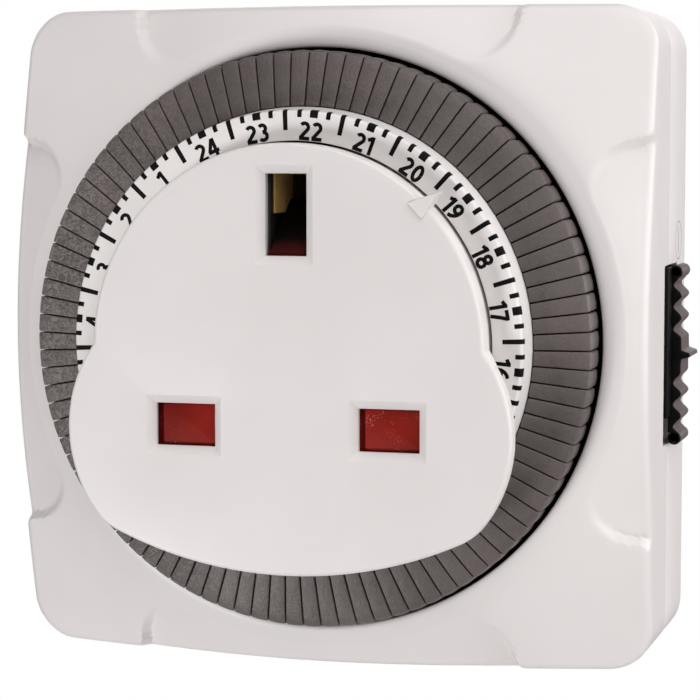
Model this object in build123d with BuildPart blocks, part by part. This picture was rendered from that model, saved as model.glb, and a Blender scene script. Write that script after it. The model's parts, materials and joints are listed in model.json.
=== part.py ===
"""Plug-in 24 hour segment timer switch with a three pin socket on its front.

All sizes are in mm. X runs right and Z up as seen from the front, Y runs towards the wall.
The origin is the centre of the rear face, on the dial axis. Inside the model a position along
the dial axis is given as a depth behind the socket face, so world Y = depth - BODY_DEPTH.

What makes this part: the cone shaped front with four scooped sides, the 96 pushable segments on
a geared drum that turns round the fixed socket, and the train and switch lever behind them.
The plug and socket pattern comes first; the rings are laid round it and the housing round them,
and the depths are stacked from the socket face to the wall.
"""
from build123d import *
import math
import os

os.makedirs("parts", exist_ok=True)

# ---------------------------------------------------------------- plug and socket pattern
LINE_X, LINE_Z = 11.11, -8.5               # live and neutral centre
EARTH_Z = 13.73
LINE_HOLE = (6.5, 4.5)
EARTH_HOLE = (4.45, 8.56)
LINE_PIN, LINE_REACH = (6.35, 3.97), 17.7
EARTH_PIN, EARTH_REACH = (3.97, 7.92), 22.73
SLEEVE = 9.05          # sleeve length outside the wall face
PIN_FIT = 0.2          # how much wider the holes in the rear wall are
PIN_HEAD = (2.0, 1.6)  # how much wider and higher the shoulder inside is
BEVEL = 0.9
FACE_LAND = 3.19       # face above the earth aperture
FACE_T = 2.9
FACE_SKIN = 1.2        # thickness left in front of the shutter
FOOT_DROP = 15.5       # face below the centre of the line apertures
FOOT_LOBE_R = 15.0     # round lobes at the foot of the face
FOOT_R = 45.17         # flat arc below them
SCREW_X, SCREW_Z = 14.5, 4.0               # socket screws
SHUTTER_TRAVEL = 5.5

# ---------------------------------------------------------------- rings, from the socket outwards
RING_WIDTH, RING_LENGTH = 3.14, 3.6
SEG_LENGTH = 5.95      # radial length of a segment
FLANGE_TOOTH = 4.0     # gear pitch circle outside the drum
SEGMENTS = 96
PITCH = 360.0 / SEGMENTS
FIRST_GAP = 0.71       # azimuth of a gap line, clockwise from the top
SEG_GAP = 0.22
SEG_TRAVEL = 2.2
TAIL = 1.0             # side of the square tail of a segment
SAMPLE = (4, 5, 6, 7)  # the four segments of one hour, modelled one by one

FACE_R = EARTH_Z + EARTH_HOLE[1] / 2 + FACE_LAND
SKIRT_R = FACE_R - 1.9
RING_IN = FACE_R + 0.2
RING_OUT = RING_IN + RING_WIDTH
SEG_IN = RING_OUT + 0.51
SEG_OUT = SEG_IN + SEG_LENGTH
DRUM_R = SEG_IN - 0.25
TAIL_OUT = SEG_OUT - 0.5
TAIL_IN = TAIL_OUT - TAIL
OPENING_R = SEG_OUT + 0.4                  # round opening in the cover

# ---------------------------------------------------------------- housing, round the rings
RIDGE = 2.3            # from the opening to the inner edge of the pads and scoops
SIDE_LAND = 2.2        # from there to the flat side
WALL = 2.0
REAR_WALL = 2.5
CORNER = 4.7           # corner radius in plan
EDGE_R = 1.5           # outer edge rounding
PAD_SLOPE = 0.42       # cone slope of the corner pads, depth per radius
SCOOP_SLOPE = 0.63     # steeper cone slope of the scoop floors
LOBE_X, LOBE_R = 16.0, 4.4                 # rounded ends of a scoop
POST_R = 2.2           # housing screw posts
ROOM = 0.9             # free space between the side walls and what stands inside

RIDGE_R = OPENING_R + RIDGE
BODY = 2 * (RIDGE_R + SIDE_LAND)           # side of the square housing
INSIDE = BODY / 2 - WALL
POST = INSIDE - POST_R - ROOM
LOBE_Z = RIDGE_R + 1.0

# ---------------------------------------------------------------- gear train
DIAL_TEETH, PINION_TEETH = 96, 12
FINE = 0.35
WHEEL_TEETH, MOTOR_TEETH = 44, 12
PRESSURE = math.radians(25)
BACKLASH = 0.10
GEAR_T, WHEEL_T = 1.8, 1.0
MODULE = 2 * (DRUM_R + FLANGE_TOOTH) / DIAL_TEETH
_reach = MODULE * (DIAL_TEETH + PINION_TEETH) / 2
DRIVE_X = DRIVE_Z = -_reach / math.sqrt(2)           # drive gear at the lower left
MOTOR_X, MOTOR_Z = DRIVE_X + FINE * (WHEEL_TEETH + MOTOR_TEETH) / 2, DRIVE_Z
MOTOR_LENGTH = 11.7
# the can fits between the side wall and the line pins
MOTOR_R = min(INSIDE + MOTOR_Z - 0.49, LINE_Z - (LINE_PIN[1] + PIN_HEAD[1]) / 2 - MOTOR_Z - 1.0)
MOTOR_EAR = MOTOR_R + 1.7

# ---------------------------------------------------------------- depths, from the socket face
RING_DEPTH = FACE_T + 0.4
DRUM_FRONT = RING_DEPTH + RING_LENGTH + 0.05
SEG_TOP_IN = RING_DEPTH + 3.2              # depth of the sloping segment face
SEG_TOP_OUT = SEG_TOP_IN + 1.5
SEG_REAR = SEG_TOP_IN + 5.3
FLANGE_FRONT = SEG_REAR + SEG_TRAVEL + 0.2
FLANGE_REAR = FLANGE_FRONT + 2.0
TAIL_END = FLANGE_REAR + 0.8
GEAR_FRONT = TAIL_END + SEG_TRAVEL + 0.4
GEAR_REAR = GEAR_FRONT + GEAR_T
WHEEL_FRONT = GEAR_REAR + 0.4
WHEEL_REAR = WHEEL_FRONT + WHEEL_T
CHASSIS_T = 1.4
CHASSIS_FRONT = WHEEL_REAR + 0.5
CHASSIS_REAR = CHASSIS_FRONT + CHASSIS_T
MOTOR_REAR = CHASSIS_REAR + 0.5 + MOTOR_LENGTH
CASE_DEPTH, TERMINAL = 8.4, 2.5            # snap switch and the blades behind it
CASE_FRONT = CHASSIS_REAR + 1.4
CASE_REAR = CASE_FRONT + CASE_DEPTH
BODY_DEPTH = max(MOTOR_REAR + 0.6, CASE_REAR + TERMINAL + 0.5) + REAR_WALL   # socket face to wall face
SEAM = CHASSIS_REAR + 2.6                  # joint between cover and rear housing
RIDGE_DEPTH = SEG_TOP_OUT + 4.0
COLLAR_END = FLANGE_REAR + 0.2
GUIDE_FRONT, GUIDE_REAR = FACE_T + 0.1, FACE_T + 1.7
BASE_FRONT, BASE_REAR = CHASSIS_FRONT - 2.1, CHASSIS_FRONT - 0.1
MOUTH = FACE_T + 6.7   # where the contacts begin
PIN_INNER = BODY_DEPTH - 10.0              # inner end of the plug pins

# ---------------------------------------------------------------- slider and switch, at the right side
NOTCH = (SEAM - 3.3, SEAM + 6.2, -12.5, 8.2)         # slider opening: depths and heights
FLANGE_X = INSIDE - 1.05                   # slider flange, inside the wall
BRIDGE_X = FLANGE_X - 0.55
BLADE_X = BRIDGE_X - 0.65
CASE_WIDTH = 7.1
CASE_X1 = BLADE_X - 0.05
CASE_X0 = CASE_X1 - CASE_WIDTH
TERMINAL_X = CASE_X0 + 3.0
LEVER_T, LEVER_BAR = 1.6, 1.8
LEVER_X = (TAIL_IN + TAIL_OUT) / 2 + 0.5 - LEVER_T / 2
LEVER_DEPTH, LEVER_Z = CHASSIS_FRONT - 0.4, 12.0
NOSE_Z = -3.0
LEVER_END = NOSE_Z - 1.4
PLUNGER_Z = 4.0
PLUNGER_R = 0.8
PLUNGER_TRAVEL = 1.2
LUG_X = LEVER_X - 1.5                      # lugs either side of the lever
LUG_T = 1.2


def layer(depth):
    """Plane parallel to the wall at a depth, looking out of the front: local x = X, y = Z."""
    return Plane.XZ.offset(BODY_DEPTH - depth)


def turned(points):
    """Body of revolution about the dial axis from (radius, depth) corners."""
    with BuildPart() as body:
        with BuildSketch(Plane.XY):
            with BuildLine():
                Polyline(*[(r, d - BODY_DEPTH) for r, d in points], close=True)
            make_face()
        revolve(axis=Axis.Y)
    return body.part


def slab(plan, front, rear):
    """Plan sketch (X, Z) as a solid between two depths."""
    with BuildPart() as body:
        with BuildSketch(layer(rear)):
            add(plan)
        extrude(amount=rear - front)
    return body.part


def box(x0, x1, front, rear, z0, z1):
    """Block between two X, two depths and two heights."""
    with BuildPart() as body:
        with BuildSketch(layer(rear)):
            with Locations(((x0 + x1) / 2, (z0 + z1) / 2)):
                Rectangle(x1 - x0, z1 - z0)
        extrude(amount=rear - front)
    return body.part


def rod(x, z, radius, front, rear):
    """Round bar along the dial axis."""
    with BuildPart() as body:
        with BuildSketch(layer(rear)):
            with Locations((x, z)):
                Circle(radius)
        extrude(amount=rear - front)
    return body.part


# ================================================================ front cover
def coned_block(slope):
    """Rounded square block whose front is a cone about the dial axis, outer edge rounded."""
    reach = BODY
    cone = turned([(0, RIDGE_DEPTH - 0.6), (OPENING_R + 0.5, RIDGE_DEPTH - 0.6), (RIDGE_R, RIDGE_DEPTH),
                   (reach, RIDGE_DEPTH + slope * (reach - RIDGE_R)), (reach, 2 * BODY_DEPTH), (0, 2 * BODY_DEPTH)])
    with BuildPart() as block:
        with BuildSketch(layer(SEAM)):
            RectangleRounded(BODY, BODY, CORNER)
        extrude(amount=SEAM - RIDGE_DEPTH + 2)
        add(cone, mode=Mode.INTERSECT)
        rim = [e for e in block.edges()
               if RIDGE_DEPTH - BODY_DEPTH + 0.3 < e.center().Y < SEAM - BODY_DEPTH - 0.3
               and abs((e @ 0).Y - (e @ 1).Y) < 0.7 * e.length]
        fillet(rim, EDGE_R)
    return block.part


def scoop_plan():
    """Plan of the top scoop: beyond the ridge circle, ending in two round lobes."""
    swing = math.atan2(LOBE_X, LOBE_Z)
    with BuildSketch() as plan:
        with BuildLine():
            Polyline((0, 0), (BODY * math.sin(swing), BODY * math.cos(swing)),
                     (-BODY * math.sin(swing), BODY * math.cos(swing)), close=True)
        make_face()
        Circle(RIDGE_R, mode=Mode.SUBTRACT)
        with Locations((LOBE_X, LOBE_Z), (-LOBE_X, LOBE_Z)):
            Circle(LOBE_R)
        with Locations((0, LOBE_Z + 5)):
            Rectangle(2 * (LOBE_X + LOBE_R), 10)
    return plan.sketch


def front_cover():
    pads = coned_block(PAD_SLOPE)
    floors = coned_block(SCOOP_SLOPE)
    scoop = slab(scoop_plan(), 5, SEAM)
    scoops = [scoop.rotate(Axis.Y, 90 * quarter) for quarter in range(4)]
    collar, ceiling = OPENING_R + 1.8, RIDGE_DEPTH + 2.6
    hollow = turned([(0, 4), (OPENING_R, 4), (OPENING_R, COLLAR_END), (collar, COLLAR_END), (collar, ceiling),
                     (BODY, ceiling + SCOOP_SLOPE * (BODY - collar)), (BODY, 2 * BODY), (0, 2 * BODY)])
    with BuildPart() as room:
        with BuildSketch(layer(SEAM + 1)):
            RectangleRounded(2 * INSIDE, 2 * INSIDE, CORNER - WALL)
        extrude(amount=SEAM)
        add(hollow, mode=Mode.INTERSECT)
    with BuildPart() as cover:
        add(pads)
        add(scoops, mode=Mode.SUBTRACT)
        add(floors)
        add(room.part, mode=Mode.SUBTRACT)
        # screw posts that carry the chassis corners
        with BuildSketch(layer(CHASSIS_FRONT - 0.05)):
            with GridLocations(2 * POST, 2 * POST, 2, 2):
                Circle(POST_R)
        extrude(amount=4.0)
        with BuildSketch(layer(CHASSIS_FRONT)):
            with GridLocations(2 * POST, 2 * POST, 2, 2):
                Circle(1.15)
        extrude(amount=4.6, mode=Mode.SUBTRACT)
        add(notch_tool(), mode=Mode.SUBTRACT)
    cover.part.label = "front_cover"
    export_step(cover.part, "parts/front_cover.step")


def notch_tool():
    """Rounded opening in the right side wall that the slider works in."""
    front, rear, low, high = NOTCH
    with BuildPart() as tool:
        with BuildSketch(Plane.YZ.offset(INSIDE - 0.8)):
            with Locations(((front + rear) / 2 - BODY_DEPTH, (low + high) / 2)):
                RectangleRounded(rear - front, high - low, 1.5)
        extrude(amount=WALL + 3)
    return tool.part


# ================================================================ rear housing
def rear_housing():
    tool = notch_tool()
    with BuildPart() as housing:
        with BuildSketch(layer(BODY_DEPTH)):
            RectangleRounded(BODY, BODY, CORNER)
        extrude(amount=BODY_DEPTH - SEAM)
        chamfer(housing.faces().sort_by(Axis.Y)[-1].edges(), 0.8)
        with BuildSketch(layer(SEAM)):
            RectangleRounded(2 * INSIDE, 2 * INSIDE, CORNER - WALL)
        extrude(amount=-(BODY_DEPTH - SEAM - REAR_WALL), mode=Mode.SUBTRACT)
        # posts behind the chassis corners, with screw holes and sunk heads
        with BuildSketch(layer(BODY_DEPTH - 1)):
            with GridLocations(2 * POST, 2 * POST, 2, 2):
                Circle(POST_R + 0.6)
        extrude(amount=BODY_DEPTH - 1 - SEAM)
        with BuildSketch(layer(SEAM + 0.5)):
            with GridLocations(2 * POST, 2 * POST, 2, 2):
                Circle(POST_R)
        extrude(amount=SEAM + 0.5 - CHASSIS_REAR - 0.05)
        with BuildSketch(layer(BODY_DEPTH)):
            with GridLocations(2 * POST, 2 * POST, 2, 2):
                Circle(1.3)
        extrude(amount=BODY_DEPTH - CHASSIS_REAR, mode=Mode.SUBTRACT)
        with BuildSketch(layer(BODY_DEPTH)):
            with GridLocations(2 * POST, 2 * POST, 2, 2):
                Circle(2.3)
        extrude(amount=3.2, mode=Mode.SUBTRACT)
        # pin holes
        with BuildSketch(layer(BODY_DEPTH)):
            with Locations((LINE_X, LINE_Z), (-LINE_X, LINE_Z)):
                Rectangle(LINE_PIN[0] + PIN_FIT, LINE_PIN[1] + PIN_FIT)
            with Locations((0, EARTH_Z)):
                Rectangle(EARTH_PIN[0] + PIN_FIT, EARTH_PIN[1] + PIN_FIT)
        extrude(amount=REAR_WALL + 0.1, mode=Mode.SUBTRACT)
        add(tool, mode=Mode.SUBTRACT)
        # clock mark engraved above the slider: a ring with one upright hand
        with BuildSketch(Plane.YZ.offset(BODY / 2 - 0.2)):
            with Locations((SEAM + 6.8 - BODY_DEPTH, NOTCH[3] + 3.2)):
                Circle(2.3)
                Circle(1.95, mode=Mode.SUBTRACT)
                Rectangle(0.35, 2.6)
        extrude(amount=1, mode=Mode.SUBTRACT)
    housing.part.label = "rear_housing"
    export_step(housing.part, "parts/rear_housing.step")


# ================================================================ socket face
def face_plan():
    """Plug shaped outline: round above, widening over the ring to two lobes on a flatter foot."""
    lobe_x, lobe_z = RING_OUT - 0.34 - FOOT_LOBE_R, LINE_Z - FOOT_DROP + FOOT_LOBE_R
    # corner where the upper circle and a lobe cross: on the line both circles share
    apart = math.hypot(lobe_x, lobe_z)
    along = (apart ** 2 + FACE_R ** 2 - FOOT_LOBE_R ** 2) / (2 * apart)
    across = math.sqrt(FACE_R ** 2 - along ** 2)
    cross_x = (along * lobe_x - across * lobe_z) / apart
    cross_z = (along * lobe_z + across * lobe_x) / apart
    with BuildSketch() as plan:
        Circle(FACE_R)
        with Locations((lobe_x, lobe_z), (-lobe_x, lobe_z)):
            Circle(FOOT_LOBE_R)
        with Locations((0, lobe_z - FOOT_LOBE_R / 2)):
            Rectangle(2 * lobe_x, FOOT_LOBE_R)
        with Locations((0, lobe_z - FOOT_LOBE_R - 0.07 + FOOT_R)):
            Circle(FOOT_R, mode=Mode.INTERSECT)
        fillet([v for v in plan.vertices() if v.Y < lobe_z - 0.55 * FOOT_LOBE_R], 6.0)
        fillet([v for v in plan.vertices() if abs(abs(v.X) - cross_x) < 0.05 and abs(v.Y - cross_z) < 0.05], 1.2)
    return plan.sketch


def aperture(x, z, width, height):
    """Socket aperture with a bevelled rim, as a cutting tool from the front down to the recess."""
    with BuildPart() as tool:
        with BuildSketch(layer(FACE_SKIN + 0.4)):
            with Locations((x, z)):
                Rectangle(width, height)
        extrude(amount=FACE_SKIN + 1.4)
        with BuildSketch(layer(0.8)):
            with Locations((x, z)):
                Rectangle(width, height)
        with BuildSketch(layer(0.0)):
            with Locations((x, z)):
                Rectangle(width + 2 * BEVEL, height + 2 * BEVEL)
        loft()
    return tool.part


def socket_face():
    holes = [aperture(LINE_X, LINE_Z, *LINE_HOLE), aperture(-LINE_X, LINE_Z, *LINE_HOLE),
             aperture(0, EARTH_Z, *EARTH_HOLE)]
    skirt_end = DRUM_FRONT - 0.8
    tip = (FACE_R + 2.1) / math.hypot(16.66, 16.27)
    with BuildPart() as face:
        with BuildSketch(layer(FACE_T)):
            add(face_plan())
        extrude(amount=FACE_T)
        chamfer(face.faces().sort_by(Axis.Y)[0].outer_wire().edges(), 0.4)
        # skirt that seats on the bearing tube
        with BuildSketch(layer(skirt_end)):
            Circle(FACE_R - 0.12)
            Circle(SKIRT_R, mode=Mode.SUBTRACT)
        extrude(amount=skirt_end - FACE_T)
        # pointer moulded on the rim, its tip over the hour ring
        with BuildSketch(layer(0.9)):
            with BuildLine():
                Polyline((13.2 * tip, 15.1 * tip), (16.66 * tip, 16.27 * tip), (14.8 * tip, 13.5 * tip), close=True)
            make_face()
        extrude(amount=1.3)
        # recess for the shutter and pocket for its spring
        with BuildSketch(layer(FACE_T)):
            with Locations((0, LINE_Z - 2.8)):
                Rectangle(2 * LINE_X + 8.18, 12.2)
            with Locations((0, EARTH_Z - 10.73)):
                Rectangle(5.2, 17.2)
            with Locations((0, LINE_Z - 11.3)):
                Rectangle(2.0, 5.0)
        extrude(amount=FACE_T - FACE_SKIN, mode=Mode.SUBTRACT)
        with BuildSketch(layer(FACE_T)):
            with Locations((SCREW_X, SCREW_Z), (-SCREW_X, SCREW_Z)):
                Circle(1.0)
        extrude(amount=FACE_T - FACE_SKIN, mode=Mode.SUBTRACT)
        add(holes, mode=Mode.SUBTRACT)
    face.part.label = "socket_face"
    export_step(face.part, "parts/socket_face.step")


def shutter():
    """Shutter bar across both line apertures, with the ramp that the earth pin pushes down."""
    back = FACE_T - 0.15
    front = back - 0.85
    with BuildPart() as blade:
        with BuildSketch(layer(back)):
            with Locations((0, LINE_Z)):
                RectangleRounded(2 * LINE_X + 7.58, 5.9, 0.6)
            with Locations((0, EARTH_Z - 11.73)):
                Rectangle(4.6, 16.0)
        extrude(amount=back - front)
        # raised pads seen in the apertures
        with BuildSketch(layer(front + 0.1)):
            with Locations((LINE_X + 0.3, LINE_Z), (-LINE_X + 0.3, LINE_Z)):
                RectangleRounded(6.3, 4.6, 0.5)
        extrude(amount=front + 0.1 - FACE_SKIN - 0.2)
        # ramp in the earth chamber
        with BuildSketch(Plane.YZ):
            with BuildLine():
                Polyline(*[(FACE_T + d - BODY_DEPTH, EARTH_Z + h) for d, h in (
                    (-1.5, -3.83), (-0.3, -2.83), (5.6, 1.47), (5.6, -0.53), (0.3, -5.13), (-0.9, -5.13),
                    (-1.5, -4.73))], close=True)
            make_face()
        extrude(amount=1.9, both=True)
    blade.part.label = "shutter"
    export_step(blade.part, "parts/shutter.step")


def shutter_spring():
    """Compression spring below the shutter bar."""
    turns, low, high = 5, LINE_Z - 13.6, LINE_Z - 3.1
    with BuildPart() as coil:
        with BuildLine(Plane.XY.offset(low)):
            path = Helix((high - low) / turns, high - low, 0.5, center=(0, FACE_T - 0.85 - BODY_DEPTH, 0))
        with BuildSketch(Plane(origin=path @ 0, z_dir=path % 0)):
            RegularPolygon(0.14, 4)
        sweep()
    coil.part.label = "shutter_spring"
    export_step(coil.part, "parts/shutter_spring.step")


# ================================================================ dial
def hour_ring():
    rear = RING_DEPTH + RING_LENGTH
    ring = turned([(RING_IN + 0.15, RING_DEPTH), (RING_OUT - 0.6, RING_DEPTH), (RING_OUT - 0.17, RING_DEPTH + 0.17),
                   (RING_OUT, RING_DEPTH + 0.6), (RING_OUT, rear), (RING_IN, rear), (RING_IN, RING_DEPTH + 0.15)])
    ring.label = "hour_ring"
    export_step(ring, "parts/hour_ring.step")


def segment():
    """One captive quarter-hour segment at the top of the dial, tail through the drum flange."""
    half = math.radians(PITCH / 2)
    inner, outer = SEG_IN * math.tan(half) - SEG_GAP / 2, SEG_OUT * math.tan(half) - SEG_GAP / 2
    with BuildSketch() as wedge:
        with BuildLine():
            Polyline((-outer, SEG_OUT), (-inner, SEG_IN), (inner, SEG_IN), (outer, SEG_OUT), close=True)
        make_face()
    with BuildPart() as block:
        with BuildSketch(Plane.YZ):
            with BuildLine():
                Polyline(*[(d - BODY_DEPTH, r) for d, r in (
                    (SEG_TOP_IN, SEG_IN - 1), (SEG_TOP_IN, SEG_IN), (SEG_TOP_OUT - 0.1, SEG_OUT - 0.5),
                    (SEG_TOP_OUT + 0.4, SEG_OUT), (SEG_TOP_OUT + 0.4, SEG_OUT + 1), (SEG_REAR, SEG_OUT + 1),
                    (SEG_REAR, SEG_IN - 1))], close=True)
            make_face()
        extrude(amount=3, both=True)
        add(slab(wedge.sketch, SEG_TOP_IN - 1, SEG_REAR + 1), mode=Mode.INTERSECT)
        with BuildSketch(Plane.YZ):
            with BuildLine():
                Polyline(*[(d - BODY_DEPTH, r) for d, r in (
                    (SEG_REAR - 0.5, TAIL_IN), (SEG_REAR - 0.5, TAIL_OUT), (TAIL_END - 0.4, TAIL_OUT),
                    (TAIL_END, TAIL_OUT - 0.1), (TAIL_END, TAIL_IN + 0.1), (TAIL_END - 0.4, TAIL_IN))], close=True)
            make_face()
        extrude(amount=TAIL / 2, both=True)
    return block.part


def time_segments():
    one = segment()
    azimuth = [FIRST_GAP + PITCH * (index + 0.5) for index in range(SEGMENTS)]
    with BuildPart() as others:
        add([one.rotate(Axis.Y, azimuth[i]) for i in range(SEGMENTS) if i not in SAMPLE])
    others.part.label = "time_segments"
    export_step(others.part, "parts/time_segments.step")
    for number, index in enumerate(SAMPLE, 1):
        single = one.rotate(Axis.Y, azimuth[index])
        single.label = f"time_segment_{number}"
        export_step(single, f"parts/time_segment_{number}.step")


def segment_carrier():
    """Black drum: bearing bore inside, slotted flange that guides the segment tails."""
    neck = DRUM_R + 0.8
    body = turned([(RING_IN, DRUM_FRONT), (DRUM_R, DRUM_FRONT), (DRUM_R, FLANGE_FRONT), (SEG_OUT, FLANGE_FRONT),
                   (SEG_OUT, FLANGE_REAR), (neck, FLANGE_REAR), (neck, GEAR_FRONT), (DRUM_R, GEAR_FRONT),
                   (DRUM_R, GEAR_REAR), (RING_IN, GEAR_REAR)])
    with BuildPart() as drum:
        add(body)
        with BuildSketch(layer(FLANGE_REAR + 0.2)):
            for index in range(SEGMENTS):
                swing = math.radians(FIRST_GAP + PITCH * (index + 0.5))
                middle = (TAIL_IN + TAIL_OUT) / 2
                with Locations(Location((middle * math.sin(swing), middle * math.cos(swing)),
                                        -math.degrees(swing))):
                    Rectangle(TAIL + 0.16, TAIL + 0.16)
        extrude(amount=FLANGE_REAR - FLANGE_FRONT + 0.4, mode=Mode.SUBTRACT)
    drum.part.label = "segment_carrier"
    export_step(drum.part, "parts/segment_carrier.step")


# ================================================================ gears
def involute_gap(angle):
    return math.tan(angle) - angle


def gear_outline(teeth, module, first, steps):
    """Corners of an involute gear: half a tooth spans pi/2N + inv(a) - inv(a_r) at radius r."""
    pitch_r = module * teeth / 2
    base_r = pitch_r * math.cos(PRESSURE)
    tip, root = pitch_r + 0.75 * module, pitch_r - 1.05 * module

    def half_angle(radius):
        at = math.acos(min(1.0, base_r / max(radius, base_r)))
        return (math.pi / (2 * teeth) - BACKLASH / (4 * pitch_r)
                + involute_gap(PRESSURE) - involute_gap(at))

    radii = [root] + [max(root, base_r) + (tip - max(root, base_r)) * k / steps
                      for k in range(0 if root < base_r else 1, steps + 1)]
    corners = []
    for tooth in range(teeth):
        centre = math.radians(first) + 2 * math.pi * tooth / teeth
        flank = [(r, centre - half_angle(r)) for r in radii]
        flank += [(r, centre + half_angle(r)) for r in reversed(radii)]
        corners += [(r * math.cos(a), r * math.sin(a)) for r, a in flank]
    return corners


def gear(x, z, outline, bore, front, rear):
    with BuildPart() as wheel:
        with BuildSketch(layer(rear)):
            with BuildLine():
                Polyline(*[(x + u, z + v) for u, v in outline], close=True)
            make_face()
            with Locations((x, z)):
                Circle(bore, mode=Mode.SUBTRACT)
        extrude(amount=rear - front)
    return wheel.part


def gears():
    ring = gear(0, 0, gear_outline(DIAL_TEETH, MODULE, 0, 1), DRUM_R + 0.05, GEAR_FRONT + 0.02, GEAR_REAR)
    ring.label = "dial_gear"
    export_step(ring, "parts/dial_gear.step")

    pinion = gear(DRIVE_X, DRIVE_Z, gear_outline(PINION_TEETH, MODULE, 0, 3), 1.05, GEAR_FRONT, GEAR_REAR)
    wheel = gear(DRIVE_X, DRIVE_Z, gear_outline(WHEEL_TEETH, FINE, 0, 1), 1.05, WHEEL_FRONT, WHEEL_REAR)
    with BuildPart() as drive:
        add(pinion)
        add(wheel)
        with BuildSketch(layer(WHEEL_REAR + 0.3)):
            with Locations((DRIVE_X, DRIVE_Z)):
                Circle(2.6)
                Circle(1.05, mode=Mode.SUBTRACT)
        extrude(amount=WHEEL_REAR + 0.3 - GEAR_REAR + 0.3)
    drive.part.label = "drive_gear"
    export_step(drive.part, "parts/drive_gear.step")

    small = gear(MOTOR_X, MOTOR_Z, gear_outline(MOTOR_TEETH, FINE, 15, 3), 0.3, WHEEL_FRONT, WHEEL_REAR)
    with BuildPart() as motor:
        add(small)
        with BuildSketch(layer(CHASSIS_REAR + 0.1)):
            with Locations((MOTOR_X, MOTOR_Z)):
                Circle(0.8)
        extrude(amount=CHASSIS_REAR + 0.1 - WHEEL_FRONT + 0.2)
    motor.part.label = "motor_pinion"
    export_step(motor.part, "parts/motor_pinion.step")


# ================================================================ chassis and motor
def chassis():
    """Plate clamped between the housing halves, with lugs for the lever pin."""
    slot_x0, slot_x1 = LUG_X + LUG_T, LEVER_X + LEVER_T + 0.3
    with BuildPart() as frame:
        with BuildSketch(layer(CHASSIS_REAR)):
            RectangleRounded(2 * (INSIDE - ROOM), 2 * (INSIDE - ROOM), 3.0)
            with GridLocations(2 * POST, 2 * POST, 2, 2):
                Circle(1.3, mode=Mode.SUBTRACT)
            Circle(SKIRT_R - 0.7, mode=Mode.SUBTRACT)
            with Locations((MOTOR_X, MOTOR_Z)):
                Circle(2.4, mode=Mode.SUBTRACT)
            with Locations((DRIVE_X, DRIVE_Z)):
                Circle(1.02, mode=Mode.SUBTRACT)
            with Locations((MOTOR_X - MOTOR_EAR, MOTOR_Z), (MOTOR_X + MOTOR_EAR, MOTOR_Z)):
                Circle(0.95, mode=Mode.SUBTRACT)
            with Locations(((slot_x0 + slot_x1) / 2, (LEVER_Z + 2.2 + LEVER_END - 2.0) / 2)):
                Rectangle(slot_x1 - slot_x0, LEVER_Z - LEVER_END + 4.2, mode=Mode.SUBTRACT)
        extrude(amount=CHASSIS_T)
        with BuildSketch(layer(CHASSIS_FRONT)):
            with Locations((LUG_X + LUG_T / 2, LEVER_Z + 0.5), (slot_x1 + LUG_T / 2, LEVER_Z + 0.5)):
                Rectangle(LUG_T, 4.6)
        extrude(amount=2.0)
        with BuildSketch(Plane.YZ.offset(LUG_X - 1)):
            with Locations((LEVER_DEPTH - BODY_DEPTH, LEVER_Z)):
                Circle(0.82)
        extrude(amount=slot_x1 - LUG_X + LUG_T + 2, mode=Mode.SUBTRACT)
    frame.part.label = "chassis"
    export_step(frame.part, "parts/chassis.step")

    # plain tube between the socket skirt and the chassis, the dial turns on it
    tube = turned([(SKIRT_R + 0.05, DRUM_FRONT - 0.75), (RING_IN - 0.06, DRUM_FRONT - 0.75),
                   (RING_IN - 0.06, CHASSIS_FRONT - 0.02), (SKIRT_R + 0.05, CHASSIS_FRONT - 0.02)])
    tube.label = "bearing_tube"
    export_step(tube, "parts/bearing_tube.step")


def motor():
    ears = ((MOTOR_X - MOTOR_EAR, MOTOR_Z), (MOTOR_X + MOTOR_EAR, MOTOR_Z))
    flange = CHASSIS_REAR + 1.0
    with BuildPart() as can:
        with BuildSketch(layer(MOTOR_REAR)):
            with Locations((MOTOR_X, MOTOR_Z)):
                Circle(MOTOR_R)
        extrude(amount=MOTOR_LENGTH)
        chamfer(can.faces().sort_by(Axis.Y)[-1].edges(), 0.7)
        with BuildSketch(layer(flange)):
            with Locations((MOTOR_X, MOTOR_Z)):
                Circle(MOTOR_R)
                SlotOverall(2 * MOTOR_EAR + 3.2, 4.6)
                Circle(1.1, mode=Mode.SUBTRACT)
            with Locations(*ears):
                Circle(1.0, mode=Mode.SUBTRACT)
        extrude(amount=0.8)
    can.part.label = "motor_can"
    export_step(can.part, "parts/motor_can.step")

    with BuildPart() as screws:
        with BuildSketch(layer(flange + 0.5)):
            with Locations(*ears):
                Circle(0.9)
        extrude(amount=flange + 0.5 - CHASSIS_FRONT - 0.2)
        with BuildSketch(layer(flange + 1.1)):
            with Locations(*ears):
                Circle(1.55)
        extrude(amount=1.08)
    screws.part.label = "motor_screws"
    export_step(screws.part, "parts/motor_screws.step")

    arbor = rod(DRIVE_X, DRIVE_Z, 1.0, GEAR_FRONT - 0.3, CHASSIS_REAR)
    arbor.label = "drive_arbor"
    export_step(arbor, "parts/drive_arbor.step")


# ================================================================ socket inside
def line_guides():
    """Plan of the two line pin guides and the earth guide with the slot for the shutter ramp."""
    with BuildSketch() as plan:
        with Locations((LINE_X, LINE_Z), (-LINE_X, LINE_Z)):
            Rectangle(LINE_HOLE[0] + 0.4, LINE_HOLE[1] + 0.2)
        with Locations((0, EARTH_Z)):
            Rectangle(EARTH_HOLE[0] + 0.25, EARTH_HOLE[1] + 0.14)
        with Locations((0, EARTH_Z - 5.23)):
            Rectangle(4.3, 11.4)
    return plan.sketch


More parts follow.
